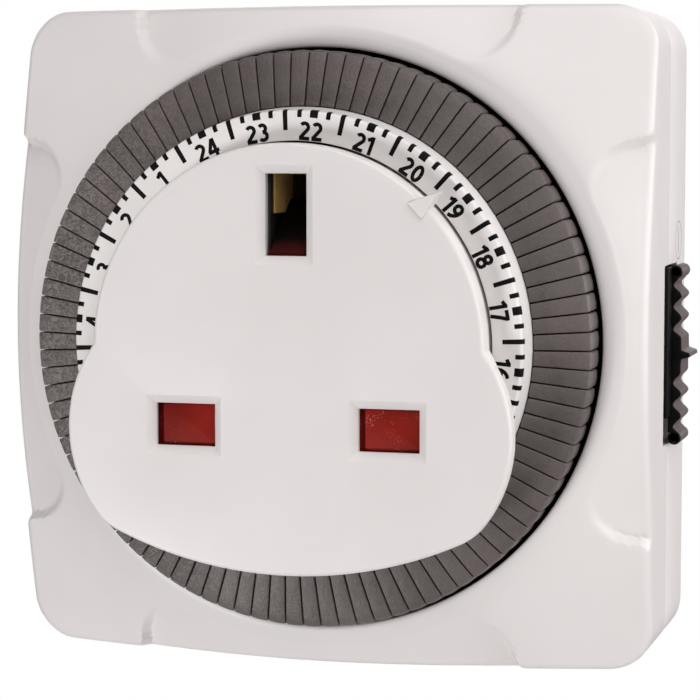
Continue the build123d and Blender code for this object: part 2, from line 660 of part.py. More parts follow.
def aperture_guide():
    """Disc behind the socket face: keeps the shutter in its recess and guides the pins."""
    with BuildPart() as disc:
        with BuildSketch(layer(GUIDE_REAR)):
            Circle(SKIRT_R - 0.1)
            add(line_guides(), mode=Mode.SUBTRACT)
            with Locations((SCREW_X, SCREW_Z), (-SCREW_X, SCREW_Z)):
                Circle(1.05, mode=Mode.SUBTRACT)
        extrude(amount=GUIDE_REAR - GUIDE_FRONT)
    disc.part.label = "aperture_guide"
    export_step(disc.part, "parts/aperture_guide.step")


def contact_carrier():
    """Insulating base in the bearing tube with a walled chamber for each contact."""
    wall = 1.2
    line = (LINE_HOLE[0] + 0.4, LINE_PIN[1] + 1.73)
    earth = (EARTH_PIN[0] + 1.83, EARTH_PIN[1] + 1.28)
    earth_z = EARTH_Z + 0.17
    front = GUIDE_REAR + 0.05
    with BuildPart() as block:
        with BuildSketch(layer(BASE_REAR)):
            Circle(SKIRT_R - 0.1)
        extrude(amount=BASE_REAR - BASE_FRONT)
        with BuildSketch(layer(BASE_REAR)):
            with Locations((LINE_X, LINE_Z), (-LINE_X, LINE_Z)):
                Rectangle(line[0] + 2 * wall, line[1] + 2 * wall)
            with Locations((0, earth_z)):
                Rectangle(earth[0] + 2 * wall, earth[1] + 2 * wall)
            with Locations((SCREW_X, SCREW_Z), (-SCREW_X, SCREW_Z)):
                Circle(2.0)
            Circle(SKIRT_R - 0.1, mode=Mode.INTERSECT)
        extrude(amount=BASE_REAR - front)
        # contact chambers, the line ones closed by the base
        with BuildSketch(layer(BASE_FRONT)):
            with Locations((LINE_X, LINE_Z), (-LINE_X, LINE_Z)):
                Rectangle(*line)
        extrude(amount=BASE_FRONT - front + 1, mode=Mode.SUBTRACT)
        with BuildSketch(layer(BASE_REAR + 0.4)):
            with Locations((LINE_X, LINE_Z + 2.33), (-LINE_X, LINE_Z + 2.33)):
                Rectangle(4.0, 0.9)
            with Locations((0, earth_z)):
                Rectangle(*earth)
            with Locations((SCREW_X, SCREW_Z), (-SCREW_X, SCREW_Z)):
                Circle(1.05)
        extrude(amount=BASE_REAR - front + 1, mode=Mode.SUBTRACT)
        # the ramp of the shutter comes down through the lower wall of the earth chamber
        with BuildSketch(layer(FACE_T + 6.3)):
            with Locations((0, EARTH_Z - 5.23)):
                Rectangle(4.3, 11.4)
        extrude(amount=6.3, mode=Mode.SUBTRACT)
    block.part.label = "contact_carrier"
    export_step(block.part, "parts/contact_carrier.step")


def line_contact(x, name):
    """Pair of leaves over and under a pin, joined behind it, with a tail to the rear."""
    leaf = LINE_PIN[1] / 2 + 0.095
    back = BASE_FRONT - 1.1
    with BuildPart() as clip:
        with BuildSketch(Plane.YZ.offset(x - 2.6)):
            with BuildLine():
                Polyline(*[(d - BODY_DEPTH, LINE_Z + h) for d, h in (
                    (MOUTH, leaf + 0.42), (MOUTH + 1, leaf), (back - 0.5, leaf), (back - 0.5, -leaf),
                    (MOUTH + 1, -leaf), (MOUTH, -leaf - 0.42), (MOUTH, -leaf - 0.72), (MOUTH + 1.2, -leaf - 0.47),
                    (back, -leaf - 0.47), (back, leaf + 0.47), (MOUTH + 1.2, leaf + 0.47), (MOUTH, leaf + 0.72))],
                    close=True)
            make_face()
        extrude(amount=5.2)
    rear = PIN_INNER + 1.0 if x < 0 else CHASSIS_REAR + 2.3
    tail = box(x - 1.6, x + 1.6, back - 1.1, rear, LINE_Z + leaf + 0.02, LINE_Z + leaf + 0.47)
    with BuildPart() as contact:
        add(clip.part)
        add(tail)
    contact.part.label = name
    export_step(contact.part, f"parts/{name}.step")


def earth_contact():
    """Two leaves either side of the earth pin, bridged above it, tail to the rear earth pin."""
    leaf, top = EARTH_PIN[0] / 2 + 0.335, EARTH_Z + EARTH_PIN[1] / 2 + 0.06
    with BuildPart() as leaves:
        with BuildSketch(layer(BASE_REAR)):
            with Locations((leaf, top + 0.4 - 4.1), (-leaf, top + 0.4 - 4.1)):
                Rectangle(0.46, 8.2)
            with Locations((0, top + 0.2)):
                Rectangle(2 * leaf + 0.46, 0.4)
        extrude(amount=BASE_REAR - MOUTH)
    tail = box(-1.6, 1.6, BASE_REAR - 0.2, PIN_INNER + 1.0, top, top + 0.4)
    with BuildPart() as contact:
        add(leaves.part)
        add(tail)
    contact.part.label = "earth_contact"
    export_step(contact.part, "parts/earth_contact.step")


# ================================================================ plug pins
def plug_pin(x, z, size, reach, name, sleeved):
    """Rectangular brass pin with a shouldered shank inside the rear wall."""
    width, height = size
    tip = BODY_DEPTH + reach
    with BuildPart() as pin:
        with BuildSketch(layer(tip)):
            with Locations((x, z)):
                Rectangle(width, height)
        extrude(amount=tip - PIN_INNER)
        chamfer(pin.faces().sort_by(Axis.Y)[-1].edges(), 1.2)
        with BuildSketch(layer(BODY_DEPTH - REAR_WALL - 0.1)):
            with Locations((x, z)):
                Rectangle(width + PIN_HEAD[0], height + PIN_HEAD[1])
        extrude(amount=1.6)
    pin_body = pin.part
    if sleeved:
        with BuildPart() as shank:
            add(pin_body)
            with BuildSketch(layer(BODY_DEPTH + SLEEVE + 0.05)):
                with Locations((x, z)):
                    Rectangle(width + 2, height + 2)
                    Rectangle(width - 1.2, height - 1.2, mode=Mode.SUBTRACT)
            extrude(amount=SLEEVE + REAR_WALL - 0.05, mode=Mode.SUBTRACT)
        with BuildPart() as sleeve:
            with BuildSketch(layer(BODY_DEPTH + SLEEVE)):
                with Locations((x, z)):
                    Rectangle(width, height)
                    Rectangle(width - 1.1, height - 1.1, mode=Mode.SUBTRACT)
            extrude(amount=SLEEVE + REAR_WALL - 0.15)
        pin_body = shank.part
        sleeve.part.label = f"{name}_sleeve"
        export_step(sleeve.part, f"parts/{name}_sleeve.step")
    pin_body.label = name
    export_step(pin_body, f"parts/{name}.step")


# ================================================================ switch
def switch_lever():
    """Lever over the switch plunger, its nose reaching forward to the pushed-in segment tails."""
    nose = TAIL_END + 1.2
    with BuildPart() as lever:
        with BuildSketch(Plane.YZ.offset(LEVER_X)):
            with Locations((LEVER_DEPTH - BODY_DEPTH, LEVER_Z)):
                Circle(1.6)
            with Locations((LEVER_DEPTH - BODY_DEPTH, (LEVER_Z + LEVER_END) / 2)):
                Rectangle(LEVER_BAR, LEVER_Z - LEVER_END)
            with Locations(((nose + LEVER_DEPTH) / 2 - BODY_DEPTH, NOSE_Z)):
                Rectangle(LEVER_DEPTH - nose, 1.6)
            with Locations((nose - BODY_DEPTH, NOSE_Z)):
                Circle(0.8)
            with Locations((LEVER_DEPTH - BODY_DEPTH, LEVER_Z)):
                Circle(0.85, mode=Mode.SUBTRACT)
        extrude(amount=LEVER_T)
    lever.part.label = "switch_lever"
    export_step(lever.part, "parts/switch_lever.step")

    with BuildPart() as pin:
        with BuildSketch(Plane.YZ.offset(LUG_X + 0.05)):
            with Locations((LEVER_DEPTH - BODY_DEPTH, LEVER_Z)):
                Circle(0.8)
        extrude(amount=LEVER_T + 0.6 + 2 * LUG_T - 0.1)
    pin.part.label = "lever_pin"
    export_step(pin.part, "parts/lever_pin.step")


def snap_switch():
    centre = LEVER_X + LEVER_T / 2
    body = box(CASE_X0, CASE_X1, CASE_FRONT, CASE_REAR, PLUNGER_Z - 13.0, PLUNGER_Z + 4.0)
    with BuildPart() as case:
        add(body)
        with BuildSketch(layer(CASE_FRONT)):
            with Locations((centre, PLUNGER_Z)):
                Circle(PLUNGER_R + 0.06)
        extrude(amount=-(2.4 + PLUNGER_TRAVEL + 0.3), mode=Mode.SUBTRACT)
    case.part.label = "switch_body"
    export_step(case.part, "parts/switch_body.step")

    front = LEVER_DEPTH + LEVER_BAR / 2 + 0.15
    with BuildPart() as plunger:
        with BuildSketch(layer(CASE_FRONT + 2.4)):
            with Locations((centre, PLUNGER_Z)):
                Circle(PLUNGER_R)
        extrude(amount=CASE_FRONT + 2.4 - front)
        chamfer(plunger.faces().sort_by(Axis.Y)[0].edges(), 0.3)
    plunger.part.label = "switch_plunger"
    export_step(plunger.part, "parts/switch_plunger.step")

    with BuildPart() as blades:
        with BuildSketch(layer(CASE_REAR + TERMINAL)):
            for height in (-10.5, -4.5, 2.0):
                with Locations((TERMINAL_X, PLUNGER_Z + height)):
                    Rectangle(0.8, 2.8)
        extrude(amount=TERMINAL - 0.02)
    blades.part.label = "switch_terminals"
    export_step(blades.part, "parts/switch_terminals.step")


def wire(points, name):
    """Round insulated wire along a smooth path through (x, depth, z) points."""
    with BuildPart() as lead:
        with BuildLine():
            path = Spline(*[(x, d - BODY_DEPTH, z) for x, d, z in points])
        with BuildSketch(Plane(origin=path @ 0, z_dir=path % 0)):
            RegularPolygon(0.75, 8)
        sweep()
    lead.part.label = name
    export_step(lead.part, f"parts/{name}.step")


def wires():
    """From the live pin to the switch and from the switch to the live contact."""
    end = TERMINAL_X - 1.3
    top = LINE_Z + LINE_PIN[1] / 2
    wire([(LINE_X + 3.69, PIN_INNER + 1.5, top + 0.51), (LINE_X + 8.39, PIN_INNER + 2.5, top + 1.02),
          (end - 3.6, CASE_REAR + 0.5, top + 3.52), (end, CASE_REAR + 1.4, PLUNGER_Z - 4.5)], "live_wire")
    wire([(LINE_X + 2.19, CHASSIS_REAR + 1.2, top + 1.51), (LINE_X + 6.39, CHASSIS_REAR + 2.8, top + 5.52),
          (end - 5.2, CASE_REAR - 0.9, PLUNGER_Z + 0.5), (end, CASE_REAR + 1.5, PLUNGER_Z + 2.0)], "load_wire")


# ================================================================ override slider
def override_slider():
    """Ribbed thumb strip outside, block in the side opening and a flange inside the wall."""
    side = BODY / 2
    crests = [4.7 - 2.4 * k for k in range(7) if k not in (3,)]
    with BuildPart() as slider:
        with BuildSketch(layer(SEAM + 5.7)):
            with Locations((side + 0.35, -2.2)):
                Rectangle(0.5, 18.4)
            with Locations(*[(side + 0.75, h) for h in crests]):
                Circle(0.75)
            with Locations((side + 1.05, 7.0), (side + 1.05, -11.4)):
                Circle(0.95)
                Circle(0.4, mode=Mode.SUBTRACT)
            with BuildLine():
                Polyline((side + 0.1, -0.4), (side + 2.4, -1.6), (side + 2.5, -2.2), (side + 0.1, -3.8),
                         close=True)
            make_face()
        extrude(amount=6.0)
        with BuildSketch(layer(SEAM + 4.7)):
            with Locations((side, -0.6)):
                Rectangle(1.4, 12.0)
        extrude(amount=4.0)
        with BuildSketch(layer(SEAM + 5.6)):
            with Locations((side - 1.4, -0.75)):
                Rectangle(1.8, 16.5)
        extrude(amount=8.3)
        with BuildSketch(layer(SEAM + 7.0)):
            with Locations((FLANGE_X + 0.4, -2.05)):
                Rectangle(0.8, 20.9)
        extrude(amount=9.1)
    slider.part.label = "override_slider"
    export_step(slider.part, "parts/override_slider.step")

    bridge = box(BRIDGE_X, FLANGE_X - 0.03, SEAM + 0.7, SEAM + 3.7, -7.0, 1.0)
    bridge.label = "override_bridge"
    export_step(bridge, "parts/override_bridge.step")
    with BuildPart() as blades:
        add(box(BLADE_X, BLADE_X + 0.55, SEAM + 1.1, SEAM + 3.3, -8.9, -5.6))
        add(box(BLADE_X, BLADE_X + 0.55, SEAM + 1.1, SEAM + 3.3, -3.6, -0.6))
    blades.part.label = "override_blades"
    export_step(blades.part, "parts/override_blades.step")


# ================================================================ screws
def screws():
    with BuildPart() as long:
        with BuildSketch(layer(BODY_DEPTH - 3.0)):
            with GridLocations(2 * POST, 2 * POST, 2, 2):
                Circle(1.1)
        extrude(amount=BODY_DEPTH - 3.0 - CHASSIS_FRONT + 4.1)
        with BuildSketch(layer(BODY_DEPTH - 1.3)):
            with GridLocations(2 * POST, 2 * POST, 2, 2):
                Circle(2.15)
                Rectangle(2.8, 0.6, mode=Mode.SUBTRACT)
        extrude(amount=1.85)
    long.part.label = "housing_screws"
    export_step(long.part, "parts/housing_screws.step")

    with BuildPart() as short:
        with BuildSketch(layer(BASE_REAR + 0.4)):
            with Locations((SCREW_X, SCREW_Z), (-SCREW_X, SCREW_Z)):
                Circle(0.95)
        extrude(amount=BASE_REAR + 0.4 - FACE_SKIN - 0.2)
        with BuildSketch(layer(BASE_REAR + 1.4)):
            with Locations((SCREW_X, SCREW_Z), (-SCREW_X, SCREW_Z)):
                Circle(1.8)
        extrude(amount=1.38)
    short.part.label = "socket_screws"
    export_step(short.part, "parts/socket_screws.step")


front_cover()
rear_housing()
socket_face()
shutter()
shutter_spring()
hour_ring()
time_segments()
segment_carrier()
gears()
chassis()
motor()
aperture_guide()
contact_carrier()
line_contact(LINE_X, "live_contact")
line_contact(-LINE_X, "neutral_contact")
earth_contact()
plug_pin(LINE_X, LINE_Z, LINE_PIN, LINE_REACH, "live_pin", True)
plug_pin(-LINE_X, LINE_Z, LINE_PIN, LINE_REACH, "neutral_pin", True)
plug_pin(0, EARTH_Z, EARTH_PIN, EARTH_REACH, "earth_pin", False)
switch_lever()
snap_switch()
wires()
override_slider()
screws()
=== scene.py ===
"""Looks of a plug-in 24 hour segment timer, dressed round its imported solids.

Sizes are in millimetres unless a name says otherwise, and MM turns them into metres. A place along
the dial axis is a depth behind the socket face, so world Y = (depth - BODY_DEPTH). Azimuths run
clockwise from the top as seen from the front. A plan is an array of (x, z) rows.
"""
from __future__ import annotations

import json
import logging
import math
from collections.abc import Sequence
from dataclasses import dataclass, field
from enum import Enum

import bmesh
import bpy
import numpy as np
from mathutils import Matrix, Vector
from mathutils.geometry import delaunay_2d_cdt

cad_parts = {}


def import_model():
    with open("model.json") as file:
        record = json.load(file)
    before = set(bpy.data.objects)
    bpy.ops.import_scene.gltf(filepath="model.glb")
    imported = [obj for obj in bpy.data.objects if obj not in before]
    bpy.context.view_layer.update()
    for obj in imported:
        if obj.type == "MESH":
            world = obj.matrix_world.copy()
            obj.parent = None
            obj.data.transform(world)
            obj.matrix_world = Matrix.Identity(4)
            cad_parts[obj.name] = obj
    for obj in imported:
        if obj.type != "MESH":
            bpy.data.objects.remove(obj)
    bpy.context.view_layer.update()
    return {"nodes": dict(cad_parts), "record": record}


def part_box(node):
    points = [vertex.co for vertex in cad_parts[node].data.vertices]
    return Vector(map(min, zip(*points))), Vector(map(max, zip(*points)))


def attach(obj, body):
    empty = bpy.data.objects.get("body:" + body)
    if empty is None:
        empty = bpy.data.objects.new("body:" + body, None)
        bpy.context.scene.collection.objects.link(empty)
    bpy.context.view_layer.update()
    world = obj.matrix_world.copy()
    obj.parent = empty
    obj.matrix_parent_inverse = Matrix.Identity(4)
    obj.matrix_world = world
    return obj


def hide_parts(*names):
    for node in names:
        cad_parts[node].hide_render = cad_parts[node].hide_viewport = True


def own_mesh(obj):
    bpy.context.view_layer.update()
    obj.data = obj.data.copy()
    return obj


Array = np.ndarray
Colour = tuple[float, float, float, float]
Sockets = bpy.types.bpy_prop_collection
MM = 0.001
BODY_DEPTH = 40.0
LINE_X, LINE_Z, EARTH_Z = 11.11, -8.5, 13.73
QUARTER = math.pi / 2
FLIP = np.array([-1.0, 1.0])
log = logging.getLogger("timer")


class Slot(Enum):
    """Material slots of the record that the pieces take their finish from."""

    SHELL = "white_plastic"
    RING = "ring_white"
    SEGMENT = "segment_grey"
    BLACK = "black_plastic"
    SHUTTER = "shutter_red"
    INNER = "inner_plastic"
    GEAR = "gear_plastic"
    BRASS = "brass"
    STEEL = "steel"
    SWITCH = "switch_black"
    WIRE = "wire_brown"


# ---------------------------------------------------------------- surfaces
def world(x: Array | float, depth: Array | float, z: Array | float) -> Array:
    """Points in metres from X, depth and Z in millimetres, broadcast together.

    Args:
        x: Distance to the right of the dial axis.
        depth: Distance behind the socket face.
        z: Height above the dial axis.

    Returns:
        Array whose last axis is the world X, Y and Z.
    """
    x, depth, z = np.broadcast_arrays(x, depth, z)
    return np.stack([x, depth - BODY_DEPTH, z], -1).astype(float) * MM


def polar(radius: Array | float, azimuth: Array | float) -> tuple[Array, Array]:
    """X and Z of a radius and an azimuth in radians: (r sin a, r cos a)."""
    return radius * np.sin(azimuth), radius * np.cos(azimuth)


def ring_at(radius: Array | float, depth: Array | float, azimuth: Array) -> Array:
    """Points in metres at a radius and a depth on the rays of the azimuths."""
    x, z = polar(radius, azimuth)
    return world(x, depth, z)


def rows_at(plan: Array, *depths: float) -> Array:
    """Rows of one plan, one at each depth, in metres."""
    return world(plan[:, 0], np.array(depths)[:, None], plan[:, 1])


def layers(plan: Array, ways: Array, insets: Sequence[Array | float],
           depths: Sequence[Array | float]) -> Array:
    """Rows of a plan: row k is drawn in by inset k against the outward directions, at depth k.

    Args:
        plan: Points of the plan.
        ways: Outward direction at each point.
        insets: Inset of each row, or of each point of a row.
        depths: Depth of each row, or of each point of a row.

    Returns:
        Array of rows x points x 3 in metres.
    """
    pulls, levels = (np.stack([np.broadcast_to(value, len(plan)) for value in values])
                     for values in (insets, depths))
    drawn = plan - pulls[..., None] * ways
    return world(drawn[..., 0], levels, drawn[..., 1])


def swung(points: Array, azimuth: float) -> Array:
    """Points swung clockwise about the dial axis: (x cos a + z sin a, y, z cos a - x sin a).

    Args:
        points: Points in metres.
        azimuth: Angle of the swing.

    Returns:
        The swung points.
    """
    x, y, z = np.moveaxis(points, -1, 0)
    cos, sin = math.cos(azimuth), math.sin(azimuth)
    return np.stack([x * cos + z * sin, y, z * cos - x * sin], -1)


def steps_round(count: int) -> Array:
    """Angles of equal steps once round a circle."""
    return np.linspace(0, 2 * math.pi, count, endpoint=False)


def normals(line: Array) -> Array:
    """Unit normals (-t_z, t_x) of a line of (x, z) rows, for its unit tangent t.

    Args:
        line: Points of the line.

    Returns:
        One normal for each point.
    """
    along = np.gradient(line, axis=0)
    along /= np.linalg.norm(along, axis=1)[:, None]
    return np.stack([-along[:, 1], along[:, 0]], -1)


def enclosed(places: Array, loop: Array) -> Array:
    """Whether each place lies inside a closed loop, by counting the edges to its right.

    An edge from a to b is counted where it spans the height z of the place and meets it at
    a_x + (z - a_z)(b_x - a_x)/(b_z - a_z) beyond the place. An odd count is inside.

    Args:
        places: Array of (x, z) rows.
        loop: Corners of the loop as (x, z) rows.

    Returns:
        One truth value for each place.
    """
    a, b = loop[None], np.roll(loop, -1, 0)[None]
    x, z = places[:, :1], places[:, 1:]
    spans = (a[..., 1] > z) != (b[..., 1] > z)
    rise = np.where(spans, b[..., 1] - a[..., 1], 1.0)
    meets = a[..., 0] + (z - a[..., 1]) * (b[..., 0] - a[..., 0]) / rise
    return (spans & (meets > x)).sum(1) % 2 == 1


def linked(name: str, data: bpy.types.ID) -> bpy.types.Object:
    """New object with the given data, linked to the scene.

    Args:
        name: Name of the object.
        data: Its mesh, lamp or camera.

    Returns:
        The object.
    """
    made = bpy.data.objects.new(name, data)
    bpy.context.scene.collection.objects.link(made)
    return made


@dataclass
class Skin:
    """Points and faces gathered for one mesh."""

    points: list[Array] = field(default_factory=list)
    faces: list[list[int]] = field(default_factory=list)
    count: int = 0
    weld: float = 2e-7
    sliver: float = 1e-8

    def add(self, points: Array) -> int:
        """Append points and give the index of the first.

        Args:
            points: Array with X, Y, Z on its last axis.

        Returns:
            Index of the first new point.
        """
        first = self.count
        self.points.append(points.reshape(-1, 3))
        self.count += self.points[-1].shape[0]
        return first

    def grid(self, points: Array, around: bool = True, along: bool = False) -> int:
        """Join a rows by columns grid of points with quads.

        Quad (i, j) takes points (i, j), (i, j+1), (i+1, j+1) and (i+1, j), indices modulo the grid
        where it closes on itself.

        Args:
            points: Array of rows x columns x 3.
            around: Whether the last column joins the first.
            along: Whether the last row joins the first.

        Returns:
            Index of the first point.
        """
        rows, columns = points.shape[:2]
        first = self.add(points)
        i = np.arange(rows if along else rows - 1)[:, None]
        j = np.arange(columns if around else columns - 1)[None, :]
        k, m = (j + 1) % columns, (i + 1) % rows
        quads = np.stack(np.broadcast_arrays(i * columns + j, i * columns + k,
                                             m * columns + k, m * columns + j), -1)
        self.faces += (quads.reshape(-1, 4) + first).tolist()
        return first

    def tube(self, points: Array, rungs: bool = False) -> None:
        """Join a grid of points round its columns and close its first and last row.

        A row is closed by one face. Where it is symmetric about its first point, rungs of quads
        from point i to point n-1-i can close it instead, so that the cap has no pole.

        Args:
            points: Array of rows x columns x 3.
            rungs: Whether rungs close the rows.
        """
        rows, columns = points.shape[:2]
        start = self.grid(points)
        i = np.arange(columns // 2 - 1)
        for first in (start, start + (rows - 1) * columns):
            if rungs:
                quads = np.stack([i, i + 1, columns - 2 - i, columns - 1 - i], -1) + first
                self.faces += quads.tolist()
            else:
                self.faces.append(list(range(first, first + columns)))

    def flat(self, loops: list[Array], depth: float) -> None:
        """Fill the area between an outer loop and its holes in one plane of constant depth.

        The area is split into triangles by a constrained Delaunay triangulation whose fixed edges
        are the loops. A triangle stays if its middle is inside the outer loop and outside every
        hole.

        Args:
            loops: Outer loop first, then the holes, each an array of (x, z) rows.
            depth: Depth of the plane.
        """
        plan = np.concatenate(loops)
        starts = np.cumsum([0] + [len(loop) for loop in loops])
        edges = [(int(a + i), int(a + (i + 1) % (b - a)))
                 for a, b in zip(starts[:-1], starts[1:]) for i in range(b - a)]
        spots, _, triangles, *_ = delaunay_2d_cdt([Vector(p) for p in plan], edges, [], 0, 1e-6)
        places = np.array([tuple(p) for p in spots])
        triangles = np.array(triangles)
        middles = places[triangles].mean(1)
        keep = enclosed(middles, loops[0])
        for hole in loops[1:]:
            keep &= ~enclosed(middles, hole)
        first = self.add(world(places[:, 0], depth, places[:, 1]))
        self.faces += (triangles[keep] + first).tolist()

    def piece(self, name: str, angle: float = 38.0) -> bpy.types.Object:
        """Weld the gathered surface, turn its faces outwards and make it an object.

        Args:
            name: Name of the new object.
            angle: Edges that turn by more than this many degrees stay sharp.

        Returns:
            The linked object.
        """
        mesh = bpy.data.meshes.new(name)
        mesh.from_pydata(np.concatenate(self.points), [], self.faces)
        welder = bmesh.new()
        welder.from_mesh(mesh)
        bmesh.ops.remove_doubles(welder, verts=welder.verts, dist=self.weld)
        bmesh.ops.dissolve_degenerate(welder, edges=welder.edges, dist=self.sliver)
        bmesh.ops.recalc_face_normals(welder, faces=welder.faces)
        welder.to_mesh(mesh)
        welder.free()
        mesh.shade_smooth()
        mesh.set_sharp_from_angle(angle=math.radians(angle))
        return linked(name, mesh)


def quarter_round(radius: float, steps: int) -> tuple[Array, Array]:
    """Inset r(1 - sin t) and drop r(1 - cos t) of a rounded edge, for t from 0 to 90 degrees."""
    turn = np.linspace(0, QUARTER, steps)
    return radius * (1 - np.sin(turn)), radius * (1 - np.cos(turn))


def rounded_rectangle(half_x: float, half_z: float, corner: float, steps: int = 5,
                      along: int = 1) -> tuple[Array, Array]:
    """Loop of a rounded rectangle about the origin, with its outward directions.

    Each quarter is a corner arc (c cos t, c sin t) about (half_x - c, half_z - c), and each
    straight side is divided into equal steps.

    Args:
        half_x: Half width.
        half_z: Half height.
        corner: Corner radius.
        steps: Points on each corner.
        along: Steps on each straight side.

    Returns:
        Points and outward directions as (n, 2) arrays.
    """
    turn = np.linspace(0, QUARTER, steps)
    points, outward = [], []
    for quarter, sign in enumerate(np.array([(1, 1), (-1, 1), (-1, -1), (1, -1)])):
        angle = turn + quarter * QUARTER
        way = np.stack([np.cos(angle), np.sin(angle)], -1)
        points.append(sign * (np.array([half_x, half_z]) - corner) + corner * way)
        outward.append(way)
    share = np.linspace(0, 1, along + 1)[1:-1, None]
    loop, ways = [], []
    for quarter in range(4):
        start, end = points[quarter][-1], points[(quarter + 1) % 4][0]
        loop += [points[quarter], start + share * (end - start)]
        ways += [outward[quarter], np.repeat(outward[quarter][-1:], along - 1, 0)]
    return np.concatenate(loop), np.concatenate(ways)


def edged_block(skin: Skin, centre: tuple[float, float], half: tuple[float, float], corner: float,
                front: float, rear: float, edge: float, steps: int = 5) -> None:
    """Block with a rounded rectangular plan and rounded front and rear edges.

    The plan loop is carried along the profile inset e(1 - sin t), drop e(1 - cos t) at the front,
    and the same at the rear.

    Args:
        skin: Surface that takes the block.
        centre: X and Z of its centre.
        half: Half width and half height.
        corner: Plan corner radius.
        front: Depth of the front.
        rear: Depth of the rear.
        edge: Radius of the rounded edges.
        steps: Points on each corner.
    """
    loop, way = rounded_rectangle(*half, corner, steps)
    inset, drop = quarter_round(edge, 4)
    skin.tube(layers(loop + centre, way, [*inset, *inset[::-1]],
                     [*(front + drop), *(rear - drop[::-1])]))


def turned(skin: Skin, profile: Array, columns: int = 288) -> None:
    """Closed body of revolution about the dial axis from a loop of (radius, depth) rows."""
    skin.grid(ring_at(profile[:, :1], profile[:, 1:], steps_round(columns)), along=True)


# ---------------------------------------------------------------- finishes
def tone(red: float, green: float, blue: float) -> Colour:
    """Linear colour of display values from 0 to 255: ((c/255 + 0.055)/1.055)^2.4 above the toe.

    Args:
        red: Red as displayed.
        green: Green as displayed.
        blue: Blue as displayed.

    Returns:
        Linear red, green and blue, and an alpha of 1.
    """
    share = np.array([red, green, blue]) / 255
    linear = np.where(share > 0.04045, ((share + 0.055) / 1.055) ** 2.4, share / 12.92)
    return (*linear.tolist(), 1.0)


@dataclass
class Tree:
    """Node tree with short ways to add and join nodes."""

    tree: bpy.types.NodeTree

    @classmethod
    def cleared(cls, block: bpy.types.Material | bpy.types.World) -> Tree:
        """Node tree of a new material or world, without its first nodes.

        Args:
            block: The material or world.

        Returns:
            Its empty tree.
        """
        block.use_nodes = True
        block.node_tree.nodes.clear()
        return cls(block.node_tree)

    def put(self, place: bpy.types.NodeSocket, value: object) -> None:
        """Link an output to an input, or set the input to a plain value.

        Args:
            place: Input that takes the value.
            value: Output of another node, or a value.
        """
        if isinstance(value, bpy.types.NodeSocket):
            self.tree.links.new(value, place)
        else:
            place.default_value = value

    def node(self, kind: str, **values: object) -> bpy.types.Node:
        """Add a node.

        Args:
            kind: Blender's type name without ShaderNode.
            values: Attributes, or inputs where the node has no such attribute. An underscore in
                an input's name stands for a space.

        Returns:
            The new node.
        """
        made = self.tree.nodes.new("ShaderNode" + kind)
        for name, value in values.items():
            if hasattr(made, name):
                setattr(made, name, value)
            else:
                self.put(made.inputs[name.replace("_", " ")], value)
        return made

    def group(self, name: str, **values: object) -> Sockets:
        """Outputs of a placed node group."""
        return self.node("Group", node_tree=bpy.data.node_groups[name], **values).outputs

    def math(self, operation: str, first: object, second: object = 0.0) -> bpy.types.NodeSocket:
        """Result of a math node on two sockets or numbers.

        Args:
            operation: Blender's name of the operation.
            first: First socket or number.
            second: Second socket or number.

        Returns:
            Output of the node.
        """
        made = self.node("Math", operation=operation)
        for place, value in zip(made.inputs, (first, second)):
            self.put(place, value)
        return made.outputs[0]

    def ramp(self, value: bpy.types.NodeSocket, low: float, high: float) -> bpy.types.NodeSocket:
        """Smooth step of a value, 0 at low and 1 at high.

        Args:
            value: Value that is stepped.
            low: Value at which the step begins.
            high: Value at which it ends, which may be the lower one.

        Returns:
            Output of the node.
        """
        made = self.node("MapRange", interpolation_type="SMOOTHSTEP", Value=value,
                         From_Min=low, From_Max=high)
        return made.outputs["Result"]

    def mix(self, share: object, first: object, second: object) -> bpy.types.NodeSocket:
        """Blend of two colours by a share.

        Args:
            share: 0 for the first colour, 1 for the second.
            first: First colour.
            second: Second colour.

        Returns:
            Output of the node.
        """
        made = self.node("Mix", data_type="RGBA")
        for place, value in zip((0, 6, 7), (share, first, second)):
            self.put(made.inputs[place], value)
        return made.outputs[2]

    def seen_as(self, lit: bpy.types.Node, seen: bpy.types.Node) -> bpy.types.NodeSocket:
        """Shader that is one node for the light and the other where the camera looks at it.

        Args:
            lit: Shader or background for the light.
            seen: Shader or background for the camera.

        Returns:
            Output of their mix.
        """
        blend = self.node("MixShader")
        ray = self.node("LightPath").outputs["Is Camera Ray"]
        for place, value in zip(blend.inputs, (ray, lit.outputs[0], seen.outputs[0])):
            self.put(place, value)
        return blend.outputs[0]


def new_group(name: str, inputs: dict[str, float],
              *outputs: str) -> tuple[Tree, Sockets, Sockets]:
    """Empty node group with a vector input, number inputs and number outputs.

    Args:
        name: Name of the group.
        inputs: Number inputs and their defaults.
        outputs: Names of the number outputs.

    Returns:
        Its tree, the sockets that its inputs give, and the sockets of its outputs.
    """
    group = bpy.data.node_groups.new(name, "ShaderNodeTree")
    group.interface.new_socket("Vector", in_out="INPUT", socket_type="NodeSocketVector")
    for label, value in inputs.items():
        socket = group.interface.new_socket(label, in_out="INPUT", socket_type="NodeSocketFloat")
        socket.default_value = value
    for label in outputs:
        group.interface.new_socket(label, in_out="OUTPUT", socket_type="NodeSocketFloat")
    given, out = group.nodes.new("NodeGroupInput"), group.nodes.new("NodeGroupOutput")
    return Tree(group), given.outputs, out.inputs


